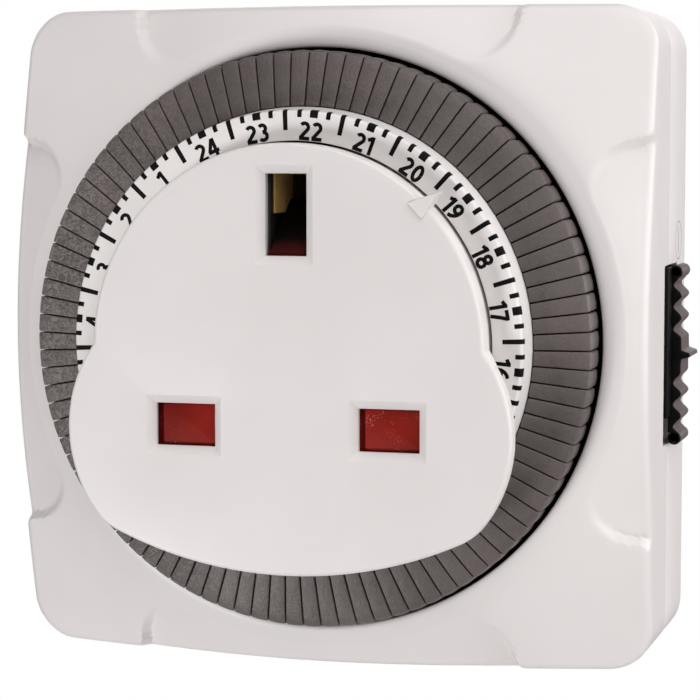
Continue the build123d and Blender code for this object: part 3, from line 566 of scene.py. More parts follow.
def grain_group() -> None:
    """Moulded grain: fine noise plus a slow wave as Height, and a slow cloud as Tone."""
    tree, given, out = new_group("moulded_grain", {"Scale": 2500.0, "Wave": 0.5},
                                 "Height", "Tone")
    fine = tree.node("TexNoise", Vector=given["Vector"], Scale=given["Scale"],
                     Detail=3.0, Roughness=0.6)
    slow = tree.node("TexNoise", Vector=given["Vector"], Detail=2.0, Roughness=0.5,
                     Scale=tree.math("MULTIPLY", given["Scale"], 0.06))
    wave = tree.math("MULTIPLY", slow.outputs[0], given["Wave"])
    tree.put(out["Height"], tree.math("ADD", fine.outputs[0], wave))
    tree.put(out["Tone"], slow.outputs[0])


def dust_group() -> None:
    """Pale dust: specks where cell noise is nearly white, gathered in clouds, as Mask."""
    tree, given, out = new_group("dust", {"Scale": 3500.0, "Amount": 0.5}, "Mask")
    specks = tree.node("TexVoronoi", feature="F1", Randomness=1.0, Vector=given["Vector"],
                       Scale=given["Scale"])
    cloud = tree.node("TexNoise", Vector=given["Vector"], Scale=320.0, Detail=3.0, Roughness=0.65)
    size = tree.math("MULTIPLY", tree.ramp(cloud.outputs[0], 0.35, 0.75), given["Amount"])
    inside = tree.math("SUBTRACT", size, specks.outputs["Distance"])
    tree.put(out["Mask"], tree.ramp(inside, 0.0, 0.12))


def swirl_group() -> None:
    """Swirls: strongly distorted noise, its middle values spread to 0 and 1, as Mask."""
    tree, given, out = new_group("swirls", {"Scale": 1500.0, "Distortion": 2.5}, "Mask")
    noise = tree.node("TexNoise", Vector=given["Vector"], Scale=given["Scale"],
                      Distortion=given["Distortion"], Detail=2.0, Roughness=0.6)
    tree.put(out["Mask"], tree.ramp(noise.outputs[0], 0.38, 0.62))


def scuff_group() -> None:
    """Fine scuffs: thin lines where stretched noise crosses its middle value, as Mask."""
    tree, given, out = new_group("scuffs", {"Scale": 260.0, "Width": 0.012}, "Mask")
    stretch = tree.node("Mapping", Vector=given["Vector"], Scale=(1.0, 1.0, 0.16),
                        Rotation=(0.3, 0.5, 0.2))
    noise = tree.node("TexNoise", Vector=stretch.outputs[0], Scale=given["Scale"],
                      Detail=2.0, Roughness=0.45)
    patch = tree.node("TexNoise", Vector=given["Vector"], Scale=90.0, Detail=1.0)
    away = tree.math("ABSOLUTE", tree.math("SUBTRACT", noise.outputs[0], 0.5))
    line = tree.ramp(tree.math("SUBTRACT", given["Width"], away), 0.0, 0.01)
    tree.put(out["Mask"], tree.math("MULTIPLY", line, tree.ramp(patch.outputs[0], 0.5, 0.62)))


@dataclass(frozen=True)
class Finish:
    """Finish of one material: a colour and its slow change to a shade, under moulded grain.

    Scuffs, swirls towards the left, dust, and painted shading lie over it where their values are
    set.
    The painted shading blends to another colour over a range of depth: painted shade deeper in on
    some parts, a painted lit side on others. Where an X range is also set, it starts over that too.
    Bump height and swirl side are in metres, and scales are per metre.
    """

    slot: Slot
    colour: Colour
    shade: Colour
    roughness: float = 0.45
    metallic: float = 0.0
    specular: float = 0.5
    grain: float = 2500.0
    bump: float = 0.05
    bump_height: float = 0.0002
    gloss_change: float = 0.08
    dust: float = 0.0
    dust_colour: Colour = (0.5, 0.48, 0.46, 1.0)
    dust_scale: float = 3500.0
    swirls: float = 0.0
    swirl_colour: Colour = (0.5, 0.48, 0.46, 1.0)
    swirl_side: float = 0.016
    swirl_least: float = 0.12
    scuffs: float = 0.0
    scuff_colour: Colour = (0.9, 0.9, 0.9, 1.0)
    # painted shading: the depths in mm over which the colour blends to the painted colour below,
    # and the X range in mm over which it also starts
    fade: tuple[float, float] | None = None
    fade_beyond: tuple[float, float] | None = None
    fade_colour: Colour = tone(12, 4, 4)

    def material(self, name: str | None = None) -> bpy.types.Material:
        """Build the material.

        Args:
            name: Name of the material, the slot's where it is left out.

        Returns:
            The material with its node tree.
        """
        made = bpy.data.materials.new(name or self.slot.value)
        tree = Tree.cleared(made)
        place = tree.node("TexCoord").outputs["Object"]
        axes = tree.node("SeparateXYZ", Vector=place).outputs
        grain = tree.group("moulded_grain", Vector=place, Scale=self.grain)
        height = grain["Height"]
        colour = tree.mix(tree.ramp(grain["Tone"], 0.3, 0.7), self.colour, self.shade)
        rough = tree.math("ADD", self.roughness - self.gloss_change / 2,
                          tree.math("MULTIPLY", height, self.gloss_change))
        if self.scuffs:
            scuffs = tree.group("scuffs", Vector=place)
            share = tree.math("MULTIPLY", scuffs["Mask"], self.scuffs)
            colour = tree.mix(share, colour, self.scuff_colour)
        if self.swirls:
            swirls = tree.group("swirls", Vector=place)
            side = tree.ramp(axes["X"], -0.5 * self.swirl_side, -1.75 * self.swirl_side)
            share = tree.math("MULTIPLY", swirls["Mask"], tree.math("ADD", side, self.swirl_least))
            colour = tree.mix(tree.math("MULTIPLY", share, self.swirls), colour, self.swirl_colour)
            height = tree.math("ADD", height, tree.math("MULTIPLY", share, 2.5))
        if self.dust:
            share = tree.group("dust", Vector=place, Scale=self.dust_scale,
                               Amount=self.dust)["Mask"]
            colour = tree.mix(share, colour, self.dust_colour)
            rough = tree.math("ADD", rough, tree.math("MULTIPLY", share, 0.3))
            height = tree.math("ADD", height, tree.math("MULTIPLY", share, 1.5))
        # painted shading: blend to the painted colour deeper in, and beyond the X range where it is
        # set
        if self.fade:
            near, far = ((depth - BODY_DEPTH) * MM for depth in self.fade)
            share = tree.ramp(axes["Y"], near, far)
            if self.fade_beyond:
                low, high = (x * MM for x in self.fade_beyond)
                share = tree.math("MULTIPLY", share, tree.ramp(axes["X"], low, high))
            colour = tree.mix(share, colour, self.fade_colour)
        bump = tree.node("Bump", Strength=self.bump, Distance=self.bump_height, Height=height)
        shader = tree.node("BsdfPrincipled", Metallic=self.metallic, Base_Color=colour,
                           Roughness=rough, Specular_IOR_Level=self.specular,
                           Normal=bump.outputs[0])
        tree.node("OutputMaterial", Surface=shader.outputs[0])
        return made


FINISHES = (
    Finish(Slot.SHELL, tone(230, 224, 223), tone(227, 221, 220), 0.38, grain=1500, bump=0.05),
    Finish(Slot.RING, tone(236, 231, 229), tone(232, 227, 225), 0.32, bump=0.03),
    Finish(Slot.SEGMENT, tone(94, 84, 82), tone(84, 75, 73), 0.42, grain=2200, bump=0.3,
           swirls=0.42, swirl_colour=tone(158, 149, 146)),
    # black plastic; its painted shading is a lit grey painted on the outer side of the slider's
    # wavy strip
    Finish(Slot.BLACK, tone(12, 9, 9), tone(6, 5, 5), 0.42, specular=0.12, bump=0.08,
           scuffs=0.5, scuff_colour=tone(60, 54, 52), fade=(27.12, 27.3),
           fade_beyond=(36.45, 36.55), fade_colour=tone(106, 96, 95)),
    # shutter red with painted shade: it darkens to near black between 1.5 and 3 mm deep
    Finish(Slot.SHUTTER, tone(142, 26, 13), tone(112, 16, 9), 0.5, specular=0.15, bump=0.15,
           grain=3000, dust=0.42, dust_colour=tone(200, 130, 120), dust_scale=5600,
           fade=(1.5, 3.0)),
    Finish(Slot.INNER, tone(34, 30, 29), tone(26, 23, 22), 0.5),
    Finish(Slot.GEAR, tone(222, 216, 200), tone(214, 206, 190), 0.4),
    Finish(Slot.BRASS, tone(200, 158, 92), tone(176, 132, 70), 0.34, metallic=1.0, grain=5000,
           bump=0.25, scuffs=0.5, scuff_colour=tone(225, 195, 140)),
    Finish(Slot.STEEL, tone(186, 186, 184), tone(168, 168, 166), 0.3, metallic=1.0, bump=0.1),
    Finish(Slot.SWITCH, tone(36, 34, 34), tone(28, 26, 26), 0.45, bump=0.08),
    Finish(Slot.WIRE, tone(96, 60, 40), tone(84, 50, 32), 0.4),
)
# painted shade: the grey of the clock sign stands for the shade in its moulded lines
PAINTED_SIGN_SHADE = Finish(Slot.SHELL, tone(150, 144, 138), tone(140, 134, 128), 0.6)
# painted light: a brighter, less metallic copy of the brass, so that the leaf end looks lit
PAINTED_LIT_BRASS = Finish(Slot.BRASS, tone(255, 212, 130), tone(236, 184, 104), 0.5, metallic=0.2,
                    grain=5000, bump=0.5)
# painted shade: a darker copy of the shutter red for the tongue in the earth aperture, darkening
# further with depth
SHADED_RED = Finish(Slot.SHUTTER, tone(74, 15, 12), tone(58, 11, 9), 0.6, specular=0.1,
                    grain=3000, bump=0.15, fade=(1.5, 3.2))
PRINT_INK = Finish(Slot.RING, tone(12, 9, 9), tone(20, 16, 15), 0.6, specular=0.1)


@dataclass
class Workshop:
    """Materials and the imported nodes, and the one place where pieces are handed in."""

    nodes: dict[str, bpy.types.Object]
    node_slot: dict[str, str]
    materials: dict[str, bpy.types.Material] = field(default_factory=dict)

    def mix_finishes(self) -> None:
        """Build the shared groups and one material for each slot."""
        for build in (grain_group, dust_group, swirl_group, scuff_group):
            build()
        for finish in FINISHES:
            self.materials[finish.slot.value] = finish.material()

    def hand_in(self, piece: bpy.types.Object, body: str, slot: Slot, *nodes: str,
                material: bpy.types.Material | None = None) -> None:
        """Give a piece its material, attach it to its body and hide the nodes that it stands for.

        Args:
            piece: The finished piece.
            body: Body that it rides on.
            slot: Slot of the record.
            nodes: CAD nodes that it replaces.
            material: A material other than the slot's own.
        """
        piece.data.materials.clear()
        piece.data.materials.append(material or self.materials[slot.value])
        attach(piece, body)
        if nodes:
            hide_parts(*nodes)
        log.info("%s rides on %s, %d faces", piece.name, body, len(piece.data.polygons))

    def dress_rest(self) -> None:
        """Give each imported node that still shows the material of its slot."""
        for name, node in self.nodes.items():
            node.data.materials.clear()
            node.data.materials.append(self.materials[self.node_slot[name]])


# ---------------------------------------------------------------- housing
@dataclass(frozen=True)
class SquareOutline:
    """Rounded square plan of the housing, sampled once for both halves.

    Extra points lie close to both ends of the slider opening.
    """

    half: float = 35.9
    corner: float = 4.7
    step: float = 0.42
    notch: tuple[float, float] = (-12.1, 7.75)
    notch_steps: tuple[float, ...] = (0.02, 0.1, 0.2, 0.4)

    def loop(self) -> tuple[Array, Array]:
        """Points of the outline and their outward directions, clockwise from the top middle.

        The straight sides and the corner arcs are walked by length: a share of the way round gives
        the distance, and the distance gives the point.

        Returns:
            Points and outward directions as (n, 2) arrays.
        """
        side, arc = 2 * (self.half - self.corner), self.corner * QUARTER
        count = round((side + arc) / self.step)
        walk = np.linspace(0, side + arc, count, endpoint=False)
        near = np.array([sign * gap for sign in (-1, 1) for gap in self.notch_steps])
        ends = np.concatenate([side / 2 - z + near for z in self.notch])
        points, ways = [], []
        for quarter in range(4):
            marks = np.sort(np.concatenate([walk, ends])) if quarter == 1 else walk
            turn = np.clip((marks - side) / self.corner, 0, QUARTER)
            u = np.minimum(marks, side) - side / 2 + self.corner * np.sin(turn)
            v = self.half - self.corner + self.corner * np.cos(turn)
            swing = np.linalg.matrix_power(np.array([[0, -1], [1, 0]]), quarter)
            points.append(np.stack([u, v], -1) @ swing)
            ways.append(np.stack([np.sin(turn), np.cos(turn)], -1) @ swing)
        return np.concatenate(points), np.concatenate(ways)


@dataclass
class Housing:
    """Front cover with its coned face and four scoops, and the rear housing.

    Profiles are rows of (radius, depth), and pin_holes are rows of (x, z, half width, half height).
    """

    shop: Workshop
    outline: SquareOutline = SquareOutline()
    seam: float = 27.3
    wall: float = 2.0
    lip: float = 0.12
    collar: tuple[tuple[float, float], ...] = (
        (31.4, 16.4), (31.4, 13.5), (31.4, 11.75), (31.43, 11.62), (31.52, 11.5), (31.66, 11.42),
        (31.9, 11.4), (32.3, 11.47), (32.8, 11.65), (33.3, 11.86))
    underside: tuple[tuple[float, float], ...] = ((33.2, 14.6), (33.2, 16.4))
    ridge: float = 33.7
    ridge_depth: float = 12.0
    pad_slope: float = 0.42
    scoop_slope: float = 0.63
    cone_rows: int = 44
    edge: float = 1.5
    side_shares: tuple[float, float, float] = (0.25, 0.6, 0.93)
    lobe: tuple[float, float, float] = (16.1, 35.0, 5.15)
    blend: float = 0.5
    notch_front: float = 24.4
    notch_rear: float = 33.5
    notch_corner: float = 0.4
    rear_edge: float = 1.2
    rear_sides: tuple[float, float] = (34.2, 36.5)
    back: float = 2.5
    pin_holes: tuple[tuple[float, float, float, float], ...] = (
        (LINE_X, LINE_Z, 3.275, 2.085), (-LINE_X, LINE_Z, 3.275, 2.085),
        (0.0, EARTH_Z, 2.085, 4.06))
    pin_hole_corner: float = 0.25
    post: float = 30.8
    screw_radii: tuple[float, float] = (2.3, 1.3)
    screw_sink: float = 3.2
    mark_place: tuple[float, float] = (34.1, 10.2)
    mark_radius: float = 2.15
    mark_line: tuple[float, float] = (0.075, 0.03)
    mark_hand: tuple[float, float] = (0.09, 1.5)
    mark_sink: float = 0.012
    mark_hand_levels: tuple[float, float] = (-0.04, 0.018)

    def scoop_distance(self, x: Array, z: Array) -> Array:
        """Signed distance into the nearest scoop, positive inside.

        By symmetry the point is folded to the top scoop. There the scoop is the sector beyond the
        ridge circle joined with two lobe circles, and its distance is the largest of theirs.

        Args:
            x: X of the points.
            z: Z of the points.

        Returns:
            One distance for each point.
        """
        u = np.minimum(np.abs(x), np.abs(z))
        v = np.maximum(np.abs(x), np.abs(z))
        lobe_u, lobe_v, lobe_r = self.lobe
        swing = math.atan2(lobe_u, lobe_v)
        beyond = np.hypot(u, v) - self.ridge
        across = v * math.sin(swing) - u * math.cos(swing)
        sector = np.minimum(beyond, across)
        circle = lobe_r - np.hypot(u - lobe_u, v - lobe_v)
        strip = np.minimum(lobe_u + lobe_r - u, v - lobe_v)
        return np.maximum(np.maximum(sector, circle), strip)

    def face_depth(self, x: Array, z: Array) -> Array:
        """Depth of the coned face: ridge depth + slope x (r - ridge radius).

        The slope passes from the pads' to the scoops' over a smooth step of the scoop distance.

        Args:
            x: X of the points.
            z: Z of the points.

        Returns:
            One depth for each point.
        """
        share = np.clip((self.scoop_distance(x, z) + self.blend) / (2 * self.blend), 0, 1)
        share = share * share * (3 - 2 * share)
        slope = self.pad_slope + (self.scoop_slope - self.pad_slope) * share
        return self.ridge_depth + slope * (np.hypot(x, z) - self.ridge)

    def inset_at(self, azimuth: Array, inset: float) -> Array:
        """Radius at which a ray meets the rounded square drawn in by an inset.

        On a side it is (h - t)/max(|sin|, |cos|), and on a corner d.C + sqrt((d.C)^2 - |C|^2 + c^2)
        for the corner centre C.

        Args:
            azimuth: Azimuths of the rays.
            inset: How far the square is drawn in.

        Returns:
            One radius for each ray.
        """
        big = np.maximum(np.abs(np.sin(azimuth)), np.abs(np.cos(azimuth)))
        small = np.minimum(np.abs(np.sin(azimuth)), np.abs(np.cos(azimuth)))
        middle = self.outline.half - self.outline.corner
        flat = (self.outline.half - inset) / big
        along = middle * (big + small)
        under = along ** 2 - 2 * middle ** 2 + (self.outline.corner - inset) ** 2
        return np.where(flat * small <= middle, flat, along + np.sqrt(np.maximum(under, 0)))

    def rim(self, points: Array, opening: float) -> Array:
        """Depth at which a half ends: at the seam, or at its end of the slider opening.

        At a distance e up to c from a side of the opening it follows the corner circle of radius
        c, and lies c - sqrt(c^2 - (c - e)^2) nearer to the seam.

        Args:
            points: Points of the outline.
            opening: Depth of the half's end of the opening.

        Returns:
            One depth for each point.
        """
        x, z = points.T
        low, high = self.outline.notch
        inside = (x > self.outline.half - 0.01) & (z > low) & (z < high)
        corner = self.notch_corner
        short = 1 - np.clip(np.minimum(z - low, high - z), 0, corner) / corner
        nearer = math.copysign(corner, self.seam - opening) * (1 - np.sqrt(1 - short ** 2))
        return np.where(inside, opening + nearer, self.seam)

    def cover(self) -> bpy.types.Object:
        """Front cover as one closed skin: collar, coned face, rounded edge, side and inner wall.

        Returns:
            The piece.
        """
        points, ways = self.outline.loop()
        azimuth = np.arctan2(points[:, 0], points[:, 1])
        rows = [ring_at(radius, depth, azimuth) for radius, depth in self.collar]
        # coned face
        lean = math.atan(self.pad_slope)
        inner = self.inset_at(azimuth, self.edge * (1 - math.sin(lean)))
        for share in np.linspace(0, 1, self.cone_rows):
            x, z = polar(self.ridge + (inner - self.ridge) * share, azimuth)
            rows.append(world(x, self.face_depth(x, z), z))
        # rounded outer edge: the arc starts where it is tangent to the cone
        centre = self.face_depth(*polar(inner, azimuth)) + self.edge * math.cos(lean)
        for turn in np.linspace(lean, QUARTER, 8)[1:]:
            radius = self.inset_at(azimuth, self.edge * (1 - math.sin(turn)))
            rows.append(ring_at(radius, centre - self.edge * math.cos(turn), azimuth))
        # side wall down to the seam or the slider opening, lip, seam face and inner wall
        end = self.rim(points, self.notch_front)
        inset, drop = quarter_round(self.lip, 4)
        sides = [centre + (end - self.lip - centre) * share for share in self.side_shares]
        floor = np.minimum(end - 0.5, centre + 3.0)
        rows += list(layers(points, ways, [0.0, 0.0, 0.0, *drop, self.wall, self.wall],
                            [*sides, *(end - short for short in inset), end, floor]))
        # underside back to the collar
        rows += [ring_at(radius, depth, azimuth) for radius, depth in self.underside]
        skin = Skin()
        skin.grid(np.stack(rows), along=True)
        return skin.piece("front_cover_shell")

    def rear(self) -> bpy.types.Object:
        """Rear housing: side from the seam, rounded rear edge, back with pin and screw holes.

        Returns:
            The piece.
        """
        points, ways = self.outline.loop()
        start = self.rim(points, self.notch_rear)
        floor, sunk = BODY_DEPTH - self.back, BODY_DEPTH - self.screw_sink
        inset, drop = quarter_round(self.lip, 4)
        edge_inset, edge_drop = quarter_round(self.rear_edge, 8)
        skin = Skin()
        skin.grid(layers(points, ways, [self.wall, self.wall, *drop[::-1], 0.0, 0.0, *edge_drop],
                         [floor, start, *(start + short for short in inset[::-1]),
                          *self.rear_sides, *(BODY_DEPTH - edge_inset)]))
        # back and floor of the box, pierced by the pins and the screws
        outer, inner = [points - ways * self.rear_edge], [points - ways * self.wall]
        for x, z, half_x, half_z in self.pin_holes:
            loop = rounded_rectangle(half_x, half_z, self.pin_hole_corner, 3)[0] + (x, z)
            skin.grid(rows_at(loop, BODY_DEPTH, floor))
            outer.append(loop)
            inner.append(loop)
        turn = steps_round(48)
        circle = np.stack([np.cos(turn), np.sin(turn)], -1)
        for post in ((x, z) for x in (-self.post, self.post) for z in (-self.post, self.post)):
            wide, thin = (radius * circle + post for radius in self.screw_radii)
            skin.grid(np.concatenate([rows_at(wide, BODY_DEPTH, sunk), rows_at(thin, sunk, floor)]))
            outer.append(wide)
            inner.append(thin)
        skin.flat(outer, BODY_DEPTH)
        skin.flat(inner, floor)
        return skin.piece("rear_housing_shell")

    def clock_mark(self) -> bpy.types.Object:
        """Thin clock sign on the right side: a ring of oval section and one upright flat hand.

        Returns:
            The piece.
        """
        skin = Skin()
        side = self.outline.half
        depth, height = self.mark_place
        thick, lift = self.mark_line
        turn, section = steps_round(96)[None, :], steps_round(10)[:, None]
        reach = self.mark_radius + thick * np.cos(section)
        skin.grid(world(side - self.mark_sink + lift * np.sin(section),
                        depth + reach * np.sin(turn), height + reach * np.cos(turn)), along=True)
        hand = np.array([(-1, -1), (1, -1), (1, 1), (-1, 1)]) * self.mark_hand + self.mark_place
        levels = side + np.array(self.mark_hand_levels)[:, None]
        skin.tube(world(levels, hand[:, 0], hand[:, 1]))
        return skin.piece("clock_mark")

    def make(self) -> None:
        """Build and hand in the housing pieces."""
        self.shop.hand_in(self.cover(), "housing", Slot.SHELL, "front_cover")
        self.shop.hand_in(self.rear(), "housing", Slot.SHELL, "rear_housing")
        # the clock sign is a thin skin whose grey is painted shade of its moulded lines
        self.shop.hand_in(self.clock_mark(), "housing", Slot.SHELL,
                          material=PAINTED_SIGN_SHADE.material("painted_sign_shade"))


# ---------------------------------------------------------------- socket
@dataclass
class Socket:
    """Plug shaped face with bevelled apertures and pointer, and the shutter behind it.

    The half sizes of the apertures are those of their straight walls. The skirt is its inner
    radius, outer radius and rear depth. The blocks of the shutter are rows of (x, z), (half width,
    half height), corner radius, front, rear, edge radius and points on a corner.
    """

    shop: Workshop
    top_radius: float = 21.2
    lobe: tuple[float, float, float] = (9.2, -9.0, 15.0)
    foot: tuple[float, float] = (21.1, 45.17)
    hollow: float = 0.5
    knuckle: float = 6.0
    step: float = 0.35
    thickness: float = 2.9
    edge: float = 0.42
    waist: float = 1.2
    lobe_rise: float = 0.9
    lobe_draw: float = 1.1
    bevel: float = 0.9
    bevel_drop: float = 0.8
    bevel_edge: float = 0.07
    aperture_corner: float = 0.06
    line_half: tuple[float, float] = (3.25, 2.25)
    earth_half: tuple[float, float] = (2.225, 4.28)
    pocket_depth: float = 1.2
    pocket_right: tuple[tuple[float, float], ...] = (
        (2.6, 18.8), (2.6, -5.2), (15.2, -5.2), (15.2, -17.4), (1.0, -17.4), (1.0, -22.3))
    skirt: tuple[float, float, float] = (19.3, 21.08, 6.15)
    pointer_corners: tuple[tuple[float, float], ...] = ((13.2, 15.1), (16.66, 16.27), (14.8, 13.5))
    shutter_blocks: tuple[tuple, ...] = (
        ((0.0, LINE_Z), (14.9, 2.95), 0.6, 1.9, 2.75, 0.1, 5),
        ((0.0, 2.0), (2.3, 8.0), 0.2, 1.92, 2.73, 0.1, 5),
        ((0.3 - LINE_X, LINE_Z), (3.15, 2.3), 0.5, 1.4, 2.0, 0.3, 7),
        ((0.3 + LINE_X, LINE_Z), (3.15, 2.3), 0.5, 1.4, 2.0, 0.3, 7))
    tongue_side: tuple[tuple[float, float], ...] = (
        (1.4, 9.9), (2.6, 10.9), (8.5, 15.2), (8.5, 13.2), (3.2, 8.6), (2.0, 8.6), (1.4, 9.0))
    leaf_reach: tuple[float, float] = (4.1, 11.0)
    leaf_plan: tuple[tuple[float, float], ...] = (
        (0.0, 13.85), (0.0, 18.0), (-0.3, 18.1), (-0.3, 13.75))
    wire: float = 0.13
    coils: int = 5

    @staticmethod
    def meeting(a: Array, ra: float, b: Array, rb: float) -> Array:
        """The right one of the two points at distance ra from a and rb from b.

        Args:
            a: First centre.
            ra: Distance from the first centre.
            b: Second centre.
            rb: Distance from the second centre.

        Returns:
            X and Z of the point.
        """
        gap = b - a
        span = float(np.hypot(*gap))
        along = (ra * ra - rb * rb + span * span) / (2 * span)
        unit = gap / span
        across = math.sqrt(ra * ra - along * along) * np.array([unit[1], -unit[0]])
        return a + along * unit + across * np.sign(across[0])

    def arc(self, centre: Array, radius: float, start: float, end: float,
            inward: bool = False) -> tuple[Array, Array]:
        """Points of an arc between two azimuths about its centre, with outward directions.

        Args:
            centre: X and Z of the centre.
            radius: Radius of the arc.
            start: First azimuth.
            end: Azimuth that the arc stops short of by one step.
            inward: Whether the outside lies towards the centre.

        Returns:
            Points and outward directions as (n, 2) arrays.
        """
        count = max(3, round(abs(end - start) * radius / self.step))
        angle = np.linspace(start, end, count, endpoint=False)
        way = np.stack([np.sin(angle), np.cos(angle)], -1)
        return centre + radius * way, -way if inward else way

    def outline(self) -> tuple[Array, Array]:
        """Plan of the face: five tangent arcs on the right half, mirrored to the left.

        The arcs are the round top, the small hollow into the lobe, the lobe, the knuckle and the
        wide foot. The hollow touches top and lobe from outside, the knuckle lobe and foot from
        inside, so their centres lie where circles of summed and differing radii meet.

        Returns:
            Points and outward directions as (n, 2) arrays.
        """
        top, lobe = np.array([0.0, 0.0]), np.array(self.lobe[:2])
        foot, lobe_r, foot_r = np.array([0.0, self.foot[0]]), self.lobe[2], self.foot[1]
        small = self.meeting(top, self.top_radius + self.hollow, lobe, lobe_r + self.hollow)
        big = self.meeting(lobe, lobe_r - self.knuckle, foot, foot_r - self.knuckle)
        ways = ((top, small), (lobe, small), (lobe, big), (foot, big))
        touch_top, touch_lobe, leave_lobe, touch_foot = (math.atan2(*(b - a)) for a, b in ways)
        pieces = [self.arc(top, self.top_radius, 0.0, touch_top),
                  self.arc(small, self.hollow, touch_top + math.pi, touch_lobe + math.pi, True),
                  self.arc(lobe, lobe_r, touch_lobe, leave_lobe),
                  self.arc(big, self.knuckle, leave_lobe, touch_foot),
                  self.arc(foot, foot_r, touch_foot, math.pi)]
        points, ways = (np.concatenate(rows) for rows in zip(*pieces))
        return (np.concatenate([points, [[0.0, self.foot[0] - foot_r]], (points * FLIP)[:0:-1]]),
                np.concatenate([ways, [[0.0, -1.0]], (ways * FLIP)[:0:-1]]))

    def hole(self, skin: Skin, centre: tuple[float, float],
             half: tuple[float, float]) -> tuple[Array, Array]:
        """Bevelled rim and straight wall of one aperture.

        The rim stands out from the wall sideways on the sides and along the mitre in the corners.

        Args:
            skin: Surface that takes it.
            centre: X and Z of the aperture.
            half: Half width and height of its straight part.

        Returns:
            The loops in which it meets the front face and the floor of the pocket.
        """
        base = rounded_rectangle(*half, self.aperture_corner, 3, 8)[0]
        beyond = np.abs(base) > np.array(half) - self.aperture_corner - 0.001
        mitre = np.where(beyond, np.sign(base), 0.0)
        wall = base + centre
        soft, out, drop = self.bevel_edge, self.bevel, self.bevel_drop
        skin.grid(layers(wall, -mitre,
                         (out + soft, out + 0.4 * soft, out - 0.3 * soft, 0.06, 0.015, 0.0, 0.0),
                         (0.0, 0.12 * soft, 0.5 * soft, drop - 0.05, drop + 0.01, drop + 0.08,
                          self.pocket_depth)))
        return wall + mitre * (out + soft), wall

    def face(self) -> bpy.types.Object:
        """Face plate: front, rounded rim, side, rear with the shutter pocket, and skirt.

        Returns:
            The piece.
        """
        skin = Skin()
        points, ways = self.outline()
        inset, drop = quarter_round(self.edge, 7)
        away = np.clip(np.hypot(points[:, 0], points[:, 1]) - self.top_radius - 0.2, 0, 1)
        draw = 0.1 + self.lobe_draw * away
        level = self.thickness - 0.1 - self.lobe_rise * away
        skin.grid(layers(points, ways, [*inset, 0.0, 0.0, draw],
                         [*drop, np.minimum(self.waist, level), level, self.thickness]))
        rims, walls = zip(*(self.hole(skin, centre, half) for centre, half in (
            ((LINE_X, LINE_Z), self.line_half), ((-LINE_X, LINE_Z), self.line_half),
            ((0.0, EARTH_Z), self.earth_half))))
        skin.flat([points - ways * inset[0], *rims], 0.0)
        right = np.array(self.pocket_right)
        pocket = np.concatenate([right, (right * FLIP)[::-1]])
        skin.grid(rows_at(pocket, self.thickness, self.pocket_depth))
        skin.flat([pocket, *walls], self.pocket_depth)
        skin.flat([points - ways * draw[:, None], pocket], self.thickness)
        inner, outer, end = self.skirt
        turned(skin, np.array([(outer, self.thickness), (outer, end), (inner, end),
                               (inner, self.thickness)]), 192)
        return skin.piece("socket_plate", 30.0)

    def pointer(self) -> bpy.types.Object:
        """Moulded pointer: a low wedge whose tip reaches over the hour ring.

        The corner loop is drawn in towards its middle as it rises, which gives soft edges.

        Returns:
            The piece.
        """
        skin = Skin()
        corners = np.array(self.pointer_corners)
        share = np.linspace(0, 1, 7)[:-1, None]
        loop = np.concatenate([a + share * (b - a)
                               for a, b in zip(corners, np.roll(corners, -1, 0))])
        skin.tube(layers(loop, loop - corners.mean(0), (0.0, 0.0, 0.03, 0.1, 0.2),
                         (1.5, -0.2, -0.33, -0.39, -0.4)))
        return skin.piece("pointer")

    def shutter(self) -> bpy.types.Object:
        """Shutter: bar and stem, and a raised pad behind each line aperture.

        Returns:
            The piece.
        """
        skin = Skin()
        for block in self.shutter_blocks:
            edged_block(skin, *block)
        return skin.piece("shutter_blade")

    def tongue(self) -> bpy.types.Object:
        """Slanted tongue of the shutter behind the earth aperture, its edges drawn in a little.

        Returns:
            The piece.
        """
        skin = Skin()
        side = np.array(self.tongue_side)
        across, draw = np.array([(-1.9, 0.94), (-1.8, 1.0), (1.8, 1.0), (1.9, 0.94)]).T
        loop = side.mean(0) + (side - side.mean(0)) * draw[:, None, None]
        skin.tube(world(across[:, None], loop[..., 0], loop[..., 1]))
        return skin.piece("shutter_tongue")

    def leaf(self) -> bpy.types.Object:
        """Bare front end of the left earth leaf, bowed towards the pin.

        Its inner side lies at x = -1.93 - 0.3 ((d - 7.5)/3.5)^2 for the depth d.

        Returns:
            The piece.
        """
        skin = Skin()
        depth = np.linspace(*self.leaf_reach, 15)[:, None]
        bowed = -1.93 - 0.3 * ((depth - 7.5) / 3.5) ** 2
        plan = np.array(self.leaf_plan)
        skin.tube(world(bowed + plan[:, 0], depth, plan[:, 1]))
        return skin.piece("earth_leaf_end")

    def spring(self) -> bpy.types.Object:
        """Shutter spring: round wire on the helix (R cos t, R sin t, p t), as long as its node.

        Returns:
            The piece.
        """
        low, high = (np.array(corner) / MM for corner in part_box("shutter_spring"))
        middle, wire = (low + high) / 2, self.wire
        swing = np.linspace(0, 2 * math.pi * self.coils, 24 * self.coils + 1)[:, None]
        section = steps_round(8)[None, :]
        reach = (high[0] - low[0]) / 2 - wire + wire * np.cos(section)
        rise = (high[2] - low[2] - 2 * wire) * swing / swing[-1] + wire * (1 + np.sin(section))
        skin = Skin()
        skin.tube(world(middle[0] + reach * np.cos(swing),
                        middle[1] + BODY_DEPTH + reach * np.sin(swing), low[2] + rise))
        return skin.piece("shutter_coil")

    def make(self) -> None:
        """Build and hand in the socket pieces."""
        # the leaf end takes the brass brightened as painted light
        self.shop.hand_in(self.leaf(), "housing", Slot.BRASS,
                          material=PAINTED_LIT_BRASS.material("painted_lit_brass"))
        self.shop.hand_in(self.face(), "housing", Slot.SHELL, "socket_face")
        self.shop.hand_in(self.pointer(), "housing", Slot.SHELL)
        self.shop.hand_in(self.shutter(), "shutter", Slot.SHUTTER, "shutter")
